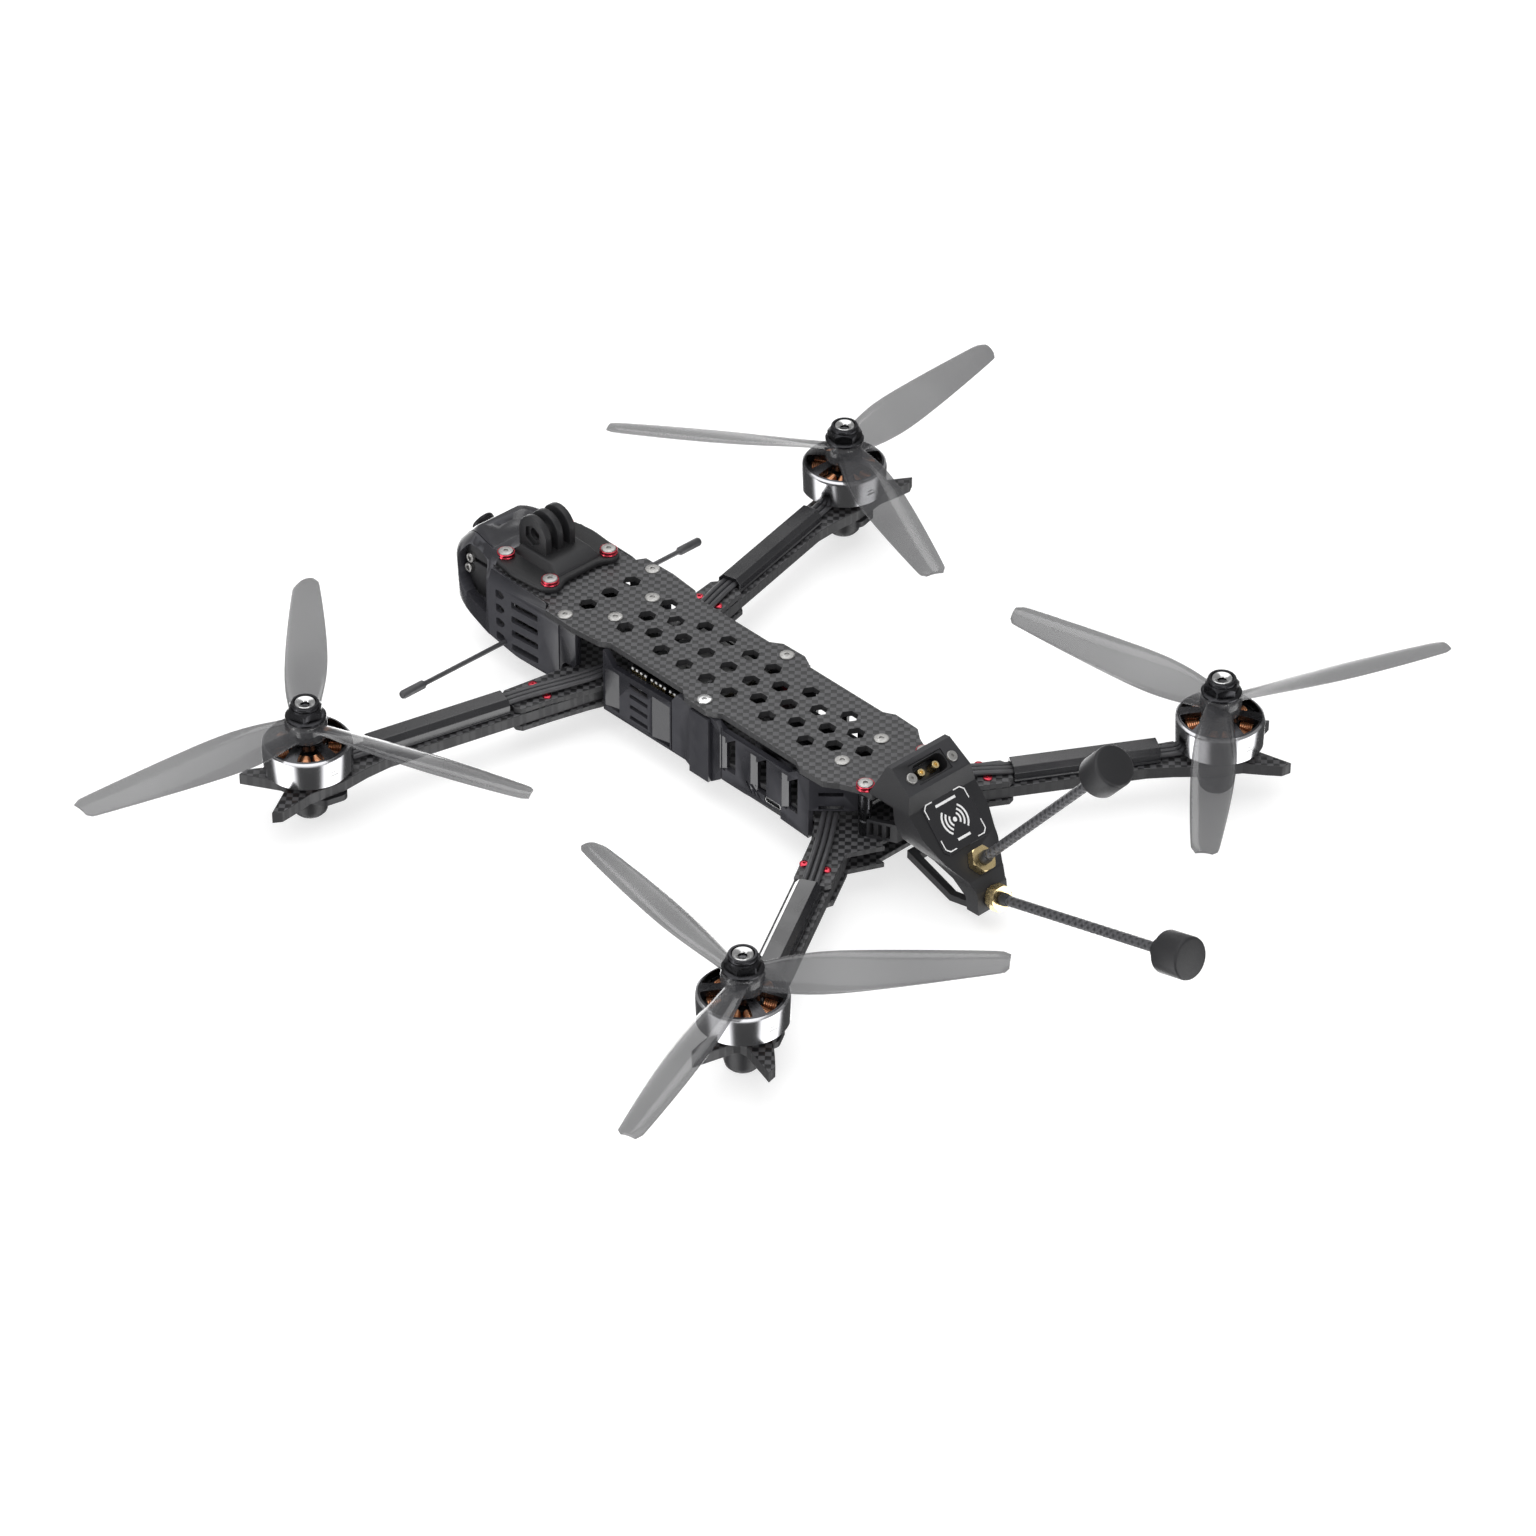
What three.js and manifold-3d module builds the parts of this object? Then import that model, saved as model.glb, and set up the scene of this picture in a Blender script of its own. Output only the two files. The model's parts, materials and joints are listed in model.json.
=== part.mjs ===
// A long-range FPV quadcopter: carbon plates and arms, moulded body panels, four brushless motors
// with three-blade propellers, a tilting nose camera, an action-camera mount and a tail mount with two
// video antennas. Millimetres, +Z up, nose toward -Y, the drone's left toward +X. The origin is the
// centre of the bottom plate's underside, midway between the four motors.
import * as THREE from 'three';
import { mergeVertices } from 'three/addons/utils/BufferGeometryUtils.js';
import Module from 'manifold-3d';

const wasm = await Module();
wasm.setup();

// ---- driving dimensions -------------------------------------------------------------------------
const GAP = 0.3; // clearance between pieces that touch

const PLATE_T = 2.2; // bottom and clamp plates
const ARM_T = 4.8;
const TOP_T = 2.4;
const BOTTOM_Z = 0;
const ARM_Z = BOTTOM_Z + PLATE_T + GAP;
const CLAMP_Z = ARM_Z + ARM_T + GAP;
const DECK_Z = CLAMP_Z + PLATE_T;
const TOP_Z = 27.8; // underside of the top plate
const ROOF_Z = TOP_Z + TOP_T;

const PANEL_X = 24.6; // outer face of the side panels and cheeks
const PANEL_T = 2.4;
const POST_X = 21.1; // the posts at mid-length stand in the side panels' bulges, on tabs of the plates
const POST_Y = -19.1;
const POST_R = 2.5;
const TAB_X = 23.9;
const TAB_HALF = 2.4;
const WAIST_X = 22.2; // half-width of the carbon plates between the arms

const PROP_R = 95.25; // 7.5 inch propeller
const BELL_R = 17;
const BELL_Z = 10.5;
const BELL_TOP = 23.2;
const HUB_TOP = 31.5;
const SHAFT_R = 2.4;

const COVER_W = 10.6;
const COVER_H = 5.9;
const LEAD_PITCH = 2.3;
const LEAD_R = 0.95;

// Each arm points outward from the body. `rear` is +1 where the arm's own +Y side faces the tail, and
// -1 on the mirrored right side. `blades` is the angle of the first blade, `spin` its sense.
const FRONT_SWEEP = -13.5;
const REAR_SWEEP = 30.3;
const CORNERS = [
  { key: 'front_left', x: 137.9, y: -109.8, out: FRONT_SWEEP, rear: 1, shift: 0.5, fork: 3.4,
    cover: [-82, -25], tongue: -83.5, root: -124, blades: 110.5, spin: -1 },
  { key: 'front_right', x: -137.9, y: -109.8, out: 180 - FRONT_SWEEP, rear: -1, shift: 0.5, fork: 3.4,
    cover: [-83.1, -25], tongue: -83.5, root: -124, blades: 67.8, spin: 1 },
  { key: 'rear_left', x: 121.7, y: 109.8, out: REAR_SWEEP, rear: 1, shift: 1.2, fork: 2.6,
    cover: [-78.5, -25], tongue: -81, root: -117, blades: 22.75, spin: 1 },
  { key: 'rear_right', x: -121.7, y: 109.8, out: 180 - REAR_SWEEP, rear: -1, shift: 1.2, fork: 2.6,
    cover: [-80.6, -24], tongue: -81, root: -117, blades: 39.6, spin: -1 },
];

const CAMERA_PIVOT = new THREE.Vector3(0, -157, 20);
const CAMERA_TILT = 28; // degrees up from level, as built

// The two antenna sockets on the tail's centre line: where the socket leaves the mount, and its pitch.
const ANTENNAS = [
  { key: 'upper', y: 104.4, z: 12.2, pitch: 50.5, reach: 102.3 },
  { key: 'lower', y: 112.4, z: 1.5, pitch: 15.5, reach: 101.2 },
];

// ---- materials ----------------------------------------------------------------------------------
const paint = (color, roughness, metalness = 0) =>
  new THREE.MeshStandardMaterial({ color, roughness, metalness });
const CARBON = paint(0x2b2c2f, 0.45);
const MOULDED = paint(0x4a4b52, 0.42);
const TPU = paint(0x1d1e20, 0.7);
const GLOSS_BLACK = paint(0x141416, 0.15);
const STEEL = paint(0xc9cacc, 0.22, 1);
const SMOKE = paint(0x77777c, 0.12);
const DARK_METAL = paint(0x17181b, 0.3, 0.8);
const COPPER = paint(0xa9603a, 0.35, 0.9);
const WIRE = paint(0x232326, 0.5);
const BOARD = paint(0x16191c, 0.6);
const GOLD = paint(0xd9b56a, 0.25, 1);
const RED_ANODISED = paint(0xb32238, 0.3, 0.9);

// ---- small helpers ------------------------------------------------------------------------------
const drone = new THREE.Group();

function piece(name, geometry, material, parent = drone) {
  const mesh = new THREE.Mesh(geometry, material);
  mesh.name = name;
  parent.add(mesh);
  return mesh;
}

function solid(geometry) {
  const bare = geometry.clone();
  bare.deleteAttribute('normal');
  bare.deleteAttribute('uv');
  const merged = mergeVertices(bare, 1e-4);
  return new wasm.Manifold(new wasm.Mesh({
    numProp: 3,
    vertProperties: new Float32Array(merged.attributes.position.array),
    triVerts: new Uint32Array(merged.index.array),
  }));
}

function geometryOf(body) {
  const mesh = body.getMesh();
  const geometry = new THREE.BufferGeometry();
  geometry.setAttribute('position', new THREE.BufferAttribute(new Float32Array(mesh.vertProperties), 3));
  geometry.setIndex(new THREE.BufferAttribute(new Uint32Array(mesh.triVerts), 1));
  return geometry;
}

const join = (first, ...others) =>
  geometryOf(others.reduce((body, other) => body.add(solid(other)), solid(first)));
const cut = (first, ...others) =>
  geometryOf(others.reduce((body, other) => body.subtract(solid(other)), solid(first)));
const overlap = (first, ...others) =>
  geometryOf(others.reduce((body, other) => body.intersect(solid(other)), solid(first)));

const shapeOf = (points) => new THREE.Shape(points.map(([u, v]) => new THREE.Vector2(u, v)));

// An outline in the XY plane, raised from z0 to z1.
function slab(points, z0, z1, holes = []) {
  const shape = shapeOf(points);
  shape.holes = holes.map((hole) => new THREE.Path(hole.map(([u, v]) => new THREE.Vector2(u, v))));
  return new THREE.ExtrudeGeometry(shape, { depth: z1 - z0, bevelEnabled: false }).translate(0, 0, z0);
}

// An outline of (y, z) points, drawn out along X from x0 to x1.
function alongX(points, x0, x1) {
  const turn = new THREE.Matrix4().makeBasis(
    new THREE.Vector3(0, 1, 0), new THREE.Vector3(0, 0, 1), new THREE.Vector3(1, 0, 0));
  return new THREE.ExtrudeGeometry(shapeOf(points), { depth: x1 - x0, bevelEnabled: false })
    .applyMatrix4(turn).translate(x0, 0, 0);
}

// An outline of (x, z) points, drawn out along Y from y0 to y1.
function alongY(points, y0, y1) {
  return new THREE.ExtrudeGeometry(shapeOf(points), { depth: y1 - y0, bevelEnabled: false })
    .rotateX(Math.PI / 2).translate(0, y1, 0);
}

function box(x0, x1, y0, y1, z0, z1) {
  return new THREE.BoxGeometry(x1 - x0, y1 - y0, z1 - z0)
    .translate((x0 + x1) / 2, (y0 + y1) / 2, (z0 + z1) / 2);
}

// A turned body about the Z axis from (radius, height) points.
function turned(points, segments = 32) {
  return new THREE.LatheGeometry(points.map(([r, z]) => new THREE.Vector2(r, z)), segments)
    .rotateX(Math.PI / 2);
}

// Lays a body turned about Z along the direction that leaves the tail at `pitch` degrees.
const pitched = (geometry, pitch) => geometry.rotateX(THREE.MathUtils.degToRad(pitch - 90));

const mirrored = (points) => points.map(([u, v]) => [-u, v]).reverse();
// A closed outline symmetric about the u = 0 line, from its +u half.
const bothSides = (half) => [...half, ...mirrored(half)];

function tube(points, radius, sides, steps) {
  const curve = new THREE.CatmullRomCurve3(points.map((p) => new THREE.Vector3(...p)));
  const section = new THREE.Shape();
  section.absarc(0, 0, radius, 0, Math.PI * 2);
  return new THREE.ExtrudeGeometry(section, { steps, curveSegments: sides, extrudePath: curve });
}

// A point of the plan view from a corner's own frame: `along` outward from the motor, `across`
// toward the tail.
function fromArm(corner, along, across) {
  const turn = THREE.MathUtils.degToRad(corner.out);
  const side = across * corner.rear;
  return [
    corner.x + along * Math.cos(turn) - side * Math.sin(turn),
    corner.y + along * Math.sin(turn) + side * Math.cos(turn),
  ];
}

const FRONT_LEFT = CORNERS[0];
const REAR_LEFT = CORNERS[2];

// ---- carbon frame -------------------------------------------------------------------------------
// The bottom and clamp plates share one outline: a spine with a tongue under and over each arm.
function spineOutline(reach, spread) {
  const front = FRONT_LEFT.tongue - reach;
  const rear = REAR_LEFT.tongue - reach;
  return bothSides([
    [13, -146], [19.3, -138], [19.3, -98], [24, -91.5],
    fromArm(FRONT_LEFT, front - 2, -6.6 - spread),
    fromArm(FRONT_LEFT, front, -4.6 - spread),
    fromArm(FRONT_LEFT, front, 5.6 + spread),
    fromArm(FRONT_LEFT, front - 2, 7.6 + spread),
    fromArm(FRONT_LEFT, front - 14, 7.6 + spread),
    [29.3, -74.6], [24.8, -73], [WAIST_X, -72.4],
    [WAIST_X, POST_Y - TAB_HALF], [TAB_X, POST_Y - TAB_HALF + 1], [TAB_X, POST_Y + TAB_HALF - 1],
    [WAIST_X, POST_Y + TAB_HALF],
    [WAIST_X, 42.2],
    fromArm(REAR_LEFT, rear - 26, -6 - spread),
    fromArm(REAR_LEFT, rear - 2, -5.6 - spread),
    fromArm(REAR_LEFT, rear, -3.6 - spread),
    fromArm(REAR_LEFT, rear, 6.6 + spread),
    fromArm(REAR_LEFT, rear - 2, 8.6 + spread),
    fromArm(REAR_LEFT, rear - 20, 8.6 + spread),
    [28.5, 66], [15.5, 72], [15.5, 69],
  ]);
}

const TOP_HALF = [
  [17, -143], [21, -138], [22, -128], [22, -105], [25.8, -103], [26.2, -88], [24.8, -74],
  [WAIST_X, -70], [WAIST_X, -30], [25.3, -25.5], [25.6, -14], [23.4, -9.5], [WAIST_X, -8],
  [WAIST_X, 31.5], [24.6, 36], [24.2, 48], [20.5, 53], [17, 61], [16.5, 66],
];

// Hexagonal lightening holes with points fore and aft, in staggered rows of one, two and three.
const HOLE_ROWS = [
  [-95, 3], [-74, 3], [-64, 2], [-53.7, 3], [-41, 3], [-28.6, 3], [-16.3, 3], [-6.2, 2],
  [4.2, 3], [14.4, 2], [25, 3], [34.4, 2], [44.6, 1],
];
const HOLE_PITCH = 11.2;
const HOLE_R = 3.6;
const hexagon = (x, y) => [0, 1, 2, 3, 4, 5].map((corner) => {
  const angle = Math.PI * (0.5 - corner / 3);
  return [x + HOLE_R * Math.cos(angle), y + HOLE_R * Math.sin(angle)];
});
const topHoles = HOLE_ROWS.flatMap(([y, count]) =>
  Array.from({ length: count }, (_, i) => hexagon((i - (count - 1) / 2) * HOLE_PITCH, y)));

piece('bottom_plate', slab(spineOutline(0, 0.8), BOTTOM_Z, BOTTOM_Z + PLATE_T), CARBON);
piece('clamp_plate', slab(spineOutline(0, 0), CLAMP_Z, DECK_Z), CARBON);
piece('top_plate', slab(bothSides(TOP_HALF), TOP_Z, ROOF_Z, topHoles), CARBON);

// Red anodised posts that hold the top plate above the clamp plate.
for (const [name, x] of [['standoff_left', POST_X], ['standoff_right', -POST_X]]) {
  piece(name, new THREE.CylinderGeometry(POST_R, POST_R, TOP_Z - DECK_Z - 2 * GAP, 20)
    .rotateX(Math.PI / 2).translate(x, POST_Y, (TOP_Z + DECK_Z) / 2), RED_ANODISED);
}

// ---- one arm with its motor ---------------------------------------------------------------------
// In an arm's frame the motor axis is the origin, +X runs outward and `rear` flips the tail side.
function armOutline({ root, shift, fork, rear }) {
  const half = 7.2;
  const edge = [
    [root, half], [-30, half], [-20, half + 0.8], [-8, 9.6], [6, 10.4], [14, 13.4], [19.8, 15.3], [23.6, 14],
  ];
  const centre = (along) => shift + (fork - shift) * THREE.MathUtils.smoothstep(along, -30, -4);
  const tailSide = edge.map(([a, c]) => [a, rear * (centre(a) + c)]);
  const noseSide = edge.map(([a, c]) => [a, rear * (centre(a) - c)]).reverse();
  const notch = [[12, rear * (fork + 2.4)], [11, rear * fork], [12, rear * (fork - 2.4)]];
  const outline = [...tailSide, ...notch, ...noseSide];
  return rear > 0 ? outline.reverse() : outline;
}

function wireCover({ cover: [start, end], shift, rear }) {
  const w = COVER_W / 2;
  const inner = 3.8;
  const section = [
    [-w, 0], [-inner, 0], [-inner, 3.2], [-2.6, 4.3], [2.6, 4.3], [inner, 3.2], [inner, 0], [w, 0],
    [w, 3.6], [3.1, COVER_H], [-3.1, COVER_H], [-w, 3.6],
  ];
  return alongX(section, start, end).translate(0, rear * shift, ARM_Z + ARM_T + GAP);
}

function motorFoot({ fork, rear }) {
  const under = ARM_Z - GAP;
  const dome = turned([[0, -11.7], [4.6, -11.7], [6, -11], [6.9, -9], [6.9, under], [0, under]], 24);
  const c = rear * fork;
  const sole = slab([[-10, c - 9], [-8, c - 10.8], [0, c - 10.8], [4, c - 7], [6, c], [4, c + 7], [0, c + 10.8],
    [-8, c + 10.8], [-10, c + 9]], under - 2.6, under);
  return join(dome, sole);
}

function statorBody() {
  const base = ARM_Z + ARM_T + GAP;
  return turned([
    [SHAFT_R + 0.4, base], [12.5, base], [12.5, base + 2.2], [6.5, base + 2.2], [6.5, BELL_Z + 1.6],
    [14.8, BELL_Z + 1.6], [14.8, BELL_Z + 8.8], [SHAFT_R + 0.4, BELL_Z + 8.8], [SHAFT_R + 0.4, base],
  ], 24);
}

function bellBody() {
  const wall = 1.6;
  const shell = turned([
    [0, BELL_Z - 1.5], [SHAFT_R, BELL_Z - 1.5], [SHAFT_R, BELL_TOP - 1.9], [8, BELL_TOP - 1.9],
    [14.6, BELL_TOP - 3.2], [BELL_R - wall, BELL_TOP - 4.4], [BELL_R - wall, BELL_Z], [BELL_R, BELL_Z],
    [BELL_R, BELL_TOP - 2.8], [BELL_R - 1, BELL_TOP - 1.6], [8, BELL_TOP], [SHAFT_R, BELL_TOP],
    [SHAFT_R, HUB_TOP + 5.4], [0, HUB_TOP + 5.4],
  ], 32);
  const windows = Array.from({ length: 6 }, (_, i) => {
    const mid = THREE.MathUtils.degToRad(i * 60 + 10);
    const spread = THREE.MathUtils.degToRad(19);
    const ring = (radius, from, to) => [0, 0.5, 1].map((t) => {
      const angle = from + (to - from) * t;
      return [radius * Math.cos(angle), radius * Math.sin(angle)];
    });
    return slab([...ring(15, mid - spread, mid + spread), ...ring(7.4, mid + spread * 0.75, mid - spread * 0.75)],
      BELL_TOP - 5, BELL_TOP + 1);
  });
  return cut(shell, ...windows);
}

// Blade stations from the hub out: radius, chord, pitch in degrees, thickness.
const BLADE_STATIONS = [
  [5, 11, 28, 3], [12, 15, 27, 2.4], [22, 19.6, 25, 2.1], [34, 20.6, 21, 1.9], [48, 18.8, 17, 1.7],
  [62, 16.4, 14.5, 1.5], [76, 13.6, 12.5, 1.3], [88, 10.4, 11, 1.1], [PROP_R, 7, 10, 0.9],
];

// One blade as a thin cambered strip through the stations; `spin` is +1 seen turning from +X to +Y.
function blade(spin) {
  const strip = new THREE.BoxGeometry(1, 1, 1, BLADE_STATIONS.length - 1, 3, 1);
  const place = strip.attributes.position;
  for (let i = 0; i < place.count; i += 1) {
    const station = Math.round((place.getX(i) + 0.5) * (BLADE_STATIONS.length - 1));
    const [radius, chord, pitch, thick] = BLADE_STATIONS[station];
    const across = place.getY(i);
    const turn = THREE.MathUtils.degToRad(pitch);
    const w = across * chord;
    const h = 0.08 * chord * (1 - 4 * across * across) + place.getZ(i) * thick * (1 - 2 * across * across);
    const raked = radius === PROP_R ? (0.5 - across) * 4 : 0;
    place.setXYZ(i, radius - raked, spin * (w * Math.cos(turn) - h * Math.sin(turn)),
      w * Math.sin(turn) + h * Math.cos(turn));
  }
  if (spin < 0) {
    const order = strip.index.array;
    for (let i = 0; i < order.length; i += 3) [order[i], order[i + 1]] = [order[i + 1], order[i]];
  }
  return strip;
}

function propeller({ blades, spin, out }) {
  const bottom = BELL_TOP + GAP;
  const middle = (bottom + HUB_TOP) / 2;
  const hub = turned([[0, bottom], [7.6, bottom], [8, middle], [7.2, HUB_TOP], [0, HUB_TOP]], 24);
  const turns = [0, 120, 240].map((step) => THREE.MathUtils.degToRad(blades - out + step));
  const whole = join(hub, ...turns.map((turn) => blade(spin).rotateZ(turn).translate(0, 0, middle)));
  return cut(whole, new THREE.CylinderGeometry(SHAFT_R + GAP, SHAFT_R + GAP, 20, 16)
    .rotateX(Math.PI / 2).translate(0, 0, middle));
}

function propNut() {
  const bottom = HUB_TOP + GAP;
  const flange = turned([[0, bottom], [7.7, bottom], [7.7, bottom + 1.1], [0, bottom + 1.1]], 24);
  const hex = turned([[0, bottom + 1], [7.1, bottom + 1], [6.8, bottom + 4.6], [5.8, bottom + 5.6], [0, bottom + 5.6]], 6);
  const rim = turned([[0, bottom + 5], [5.4, bottom + 5], [5.4, bottom + 6.9], [0, bottom + 6.9]], 24);
  return cut(join(flange, hex, rim), new THREE.CylinderGeometry(SHAFT_R + GAP, SHAFT_R + GAP, 20, 16)
    .rotateX(Math.PI / 2).translate(0, 0, bottom));
}

// The three phase leads, from the motor base through the wire cover and over the clamp plate.
function motorLeads(corner) {
  const { shift, rear, root } = corner;
  const floor = ARM_Z + ARM_T + GAP;
  const front = root < -120;
  const routes = [-1, 0, 1].map((lane) => {
    const c = rear * shift + lane * LEAD_PITCH;
    const inward = front
      ? [[-94, 0.8, 3.8], [-106, 2.2, 4.2], [-119, 3, 4.4], [-128, 2.2, 4.4]]
      : [[-92, -0.6, 3.9], [-104, -1.6, 4], [-113, -2.8, 4.2], [-121, -4, 4.6]];
    return [
      [-14.6, c, floor + 1.1], [-40, c, floor + 1.3], [-66, c, floor + 1.3], [-75, c, floor + 2.4],
      [-83, c, floor + 3.3],
      ...inward.map(([a, sway, lift]) => [a, c + rear * sway, floor + lift]),
    ];
  });
  const sleeve = box(-62, -56, rear * shift - 3.4, rear * shift + 3.4, floor + 0.2, floor + 2.5);
  return join(sleeve, ...routes.map((route) => tube(route, LEAD_R, 3, 10)));
}

for (const corner of CORNERS) {
  const { key } = corner;
  const arm = new THREE.Group();
  arm.position.set(corner.x, corner.y, 0);
  arm.rotation.z = THREE.MathUtils.degToRad(corner.out);
  drone.add(arm);
  piece(`arm_${key}`, slab(armOutline(corner), ARM_Z, ARM_Z + ARM_T), CARBON, arm);
  piece(`wire_cover_${key}`, wireCover(corner), GLOSS_BLACK, arm);
  piece(`motor_foot_${key}`, motorFoot(corner), TPU, arm);
  piece(`motor_stator_${key}`, statorBody(), COPPER, arm);
  piece(`motor_bell_${key}`, bellBody(), STEEL, arm);
  piece(`propeller_${key}`, propeller(corner), SMOKE, arm);
  piece(`prop_nut_${key}`, propNut(), DARK_METAL, arm);
  piece(`motor_leads_${key}`, motorLeads(corner), WIRE, arm);
}

// ---- moulded body panels ------------------------------------------------------------------------
// Side panel: a thin wall between the plates that turns diagonally inward at the tail, with a bulge
// round the middle post, vents, windows and an opening for the USB socket.
function sidePanel() {
  const x0 = PANEL_X - PANEL_T;
  const wall = alongX([
    [-71.8, 0], [-26, 0.6], [-22, -1.6], [-11.5, -1.6], [-6, 2.4], [7, 2.5], [26, 4.4], [26, 1.6], [41, 0.8],
    [41, 27.5], [34, 27.5], [30, 25], [-5, 25], [-9, 27.5], [-31, 27.5], [-34, 23], [-66, 22], [-71, 27.5],
    [-71.8, 27.5],
  ], x0, PANEL_X);
  const rearWall = slab([
    [PANEL_X, 39], [PANEL_X, 41], [11.3, 53.5], [9.7, 51.8], [x0, 39.8],
  ], 13.4, 27.5);
  const bulge = alongX([[-22, -1.4], [-11.6, -1.4], [-11.6, 27], [-22, 27]], PANEL_X - 1, PANEL_X + 1.6);
  const windows = [[-4.2, 8.2, 24.3], [12.5, 7.4, 24.4], [29.3, 8.6, 24.8]].map(([y, z0, z1]) =>
    alongX([[y, z0], [y + 5.8, z0], [y + 5.8, z1], [y, z1 - 4.4]], 20, 30));
  const vents = [0, 1, 2, 3].map((row) => {
    const z = 18.8 - row * 4.9;
    return box(20, 30, -57, -47, z - 0.9, z + 0.9);
  });
  const usb = box(20, 30, 17.4, 26.2, 4.9, 7.6);
  const slots = [14.8, 20.8].map((z) => box(-4.6, 4.6, -4, 4, z - 0.8, z + 0.8)
    .rotateZ(THREE.MathUtils.degToRad(136.5)).translate(18.6, 46.6, 0));
  const postRoom = new THREE.CylinderGeometry(POST_R + GAP, POST_R + GAP, 40, 20)
    .rotateX(Math.PI / 2).translate(POST_X, POST_Y, 20);
  const tabRoom = box(20, TAB_X + GAP, POST_Y - TAB_HALF - GAP, POST_Y + TAB_HALF + GAP, -3, DECK_Z + GAP);
  return cut(join(wall, rearWall, bulge), ...windows, ...vents, usb, ...slots, postRoom, tabRoom);
}

// Nose cheek: a wall that follows the plan view inward to the nose, with a side window round the
// camera screws and rows of vents behind it.
function noseCheek() {
  const outer = [[22.6, -87.5], [PANEL_X, -97], [PANEL_X, -134], [22, -151], [18, -162], [14, -168]];
  const inner = [[11.4, -165.8], [15.4, -159.8], [19.2, -149.8], [21.4, -133.6], [21.4, -88]];
  const wall = slab([...outer, ...inner].reverse(), -3, 36);
  const side = alongX([
    [-87.5, 10.4], [-94.6, 10.4], [-98.4, 0], [-104.5, -1.6], [-121, -0.7], [-133, 0.4], [-150, 4.8], [-160, 7.6],
    [-166, 11.4], [-168.6, 16], [-168, 24], [-164, 30], [-159, 34], [-144, 34], [-138, ROOF_Z + 0.5],
    [-106, ROOF_Z], [-105.6, 27.4], [-87.5, 27.4],
  ], 0, 40);
  const shoulder = alongY([[22.9, 31], [23.1, 30], [PANEL_X + 0.1, 25], [30, 25], [30, 40], [22.9, 40]], -170, -80);
  const underPlate = slab([[0, -143.4], [17.2, -143.4], [21.3, -138.2], [22.3, -128], [22.3, -80], [0, -80]],
    27.4, 40);
  const window = alongX([
    [-139, 11], [-139, 29], [-147, 31], [-157, 30], [-160.6, 24], [-161.2, 19], [-157, 13], [-150, 10.6],
  ], 0, 40);
  const slots = [0, 1, 2, 3].map((row) => {
    const z = 21 - row * 6.4;
    return alongX([[-124.5, z - 0.7], [-110.5, z - 1.2], [-110.5, z + 0.4], [-112, z + 0.9], [-124.5, z + 1.5]], 0, 40);
  });
  const cheek = cut(overlap(wall, side), shoulder, underPlate, window, ...slots);
  const bracket = slab([[15.2, -137], [18.6, -137], [18.6, -157], [17.4, -161.6], [15.2, -161.6]],
    DECK_Z + GAP, 32);
  return join(cheek, cut(bracket, shoulder, underPlate));
}

// Hood across the top of the nose, in front of the top plate.
function noseHood() {
  return cut(
    alongY([[-15, 32.2], [-15, 31], [15, 31], [15, 32.2], [11.5, 34.4], [-11.5, 34.4]], -160.5, -143.6),
    alongX([[-161, 30], [-152, 30], [-161, 33]], -20, 20));
}

function flipX(geometry) {
  const turned180 = geometry.clone().scale(-1, 1, 1);
  const order = turned180.index.array;
  for (let i = 0; i < order.length; i += 3) [order[i], order[i + 1]] = [order[i + 1], order[i]];
  return turned180;
}

piece('side_panel_left', sidePanel(), MOULDED);
piece('side_panel_right', flipX(sidePanel()), MOULDED);
piece('nose_cheek_left', noseCheek(), MOULDED);
piece('nose_cheek_right', flipX(noseCheek()), MOULDED);
piece('nose_hood', noseHood(), MOULDED);

// ---- nose camera --------------------------------------------------------------------------------
const camera = new THREE.Group();
camera.position.copy(CAMERA_PIVOT);
camera.rotation.x = THREE.MathUtils.degToRad(-CAMERA_TILT);
drone.add(camera);
piece('fpv_camera_body', box(-9.5, 9.5, -6.5, 6.5, -7.2, 7.2), TPU, camera);
piece('fpv_camera_lens', turned([[0, 0], [6.4, 0], [6.4, 3.2], [5.4, 3.8], [5.4, 8.4], [4.4, 8.8], [0, 8.8]], 28)
  .rotateX(Math.PI / 2).translate(0, -6.5 - GAP, 0), GLOSS_BLACK, camera);

// ---- action-camera mount ------------------------------------------------------------------------
// A soft base over the front of the top plate, a raised spine and three drilled fins.
function cameraMount() {
  const z = ROOF_Z + GAP;
  const base = slab(bothSides([
    [10, -142], [17.5, -141.5], [20, -138], [21.4, -128], [20.2, -114], [18.4, -109.5], [14.4, -107.6], [9, -110.6],
  ]), z, z + 2.6);
  const spine = alongY([[-12, z + 2], [12, z + 2], [9.6, z + 6], [-9.6, z + 6]], -139, -113);
  const spineEnd = alongX([[-120, 40], [-110, z + 2], [-105, 60], [-120, 60]], -20, 20);
  const centre = { y: -131, z: 42 };
  const fin = (x) => {
    const profile = new THREE.Shape();
    profile.moveTo(centre.y - 8, z + 4);
    profile.lineTo(centre.y + 8, z + 4);
    profile.lineTo(centre.y + 8, centre.z);
    profile.absarc(centre.y, centre.z, 8, 0, Math.PI);
    profile.holes.push(new THREE.Path().absarc(centre.y, centre.z, 2.6, 0, Math.PI * 2, true));
    const turn = new THREE.Matrix4().makeBasis(
      new THREE.Vector3(0, 1, 0), new THREE.Vector3(0, 0, 1), new THREE.Vector3(1, 0, 0));
    return new THREE.ExtrudeGeometry(profile, { depth: 3, bevelEnabled: false, curveSegments: 12 })
      .applyMatrix4(turn).translate(x - 1.5, 0, 0);
  };
  return join(base, cut(spine, spineEnd), fin(-6), fin(0), fin(6));
}
piece('action_camera_mount', cameraMount(), TPU);

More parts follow.
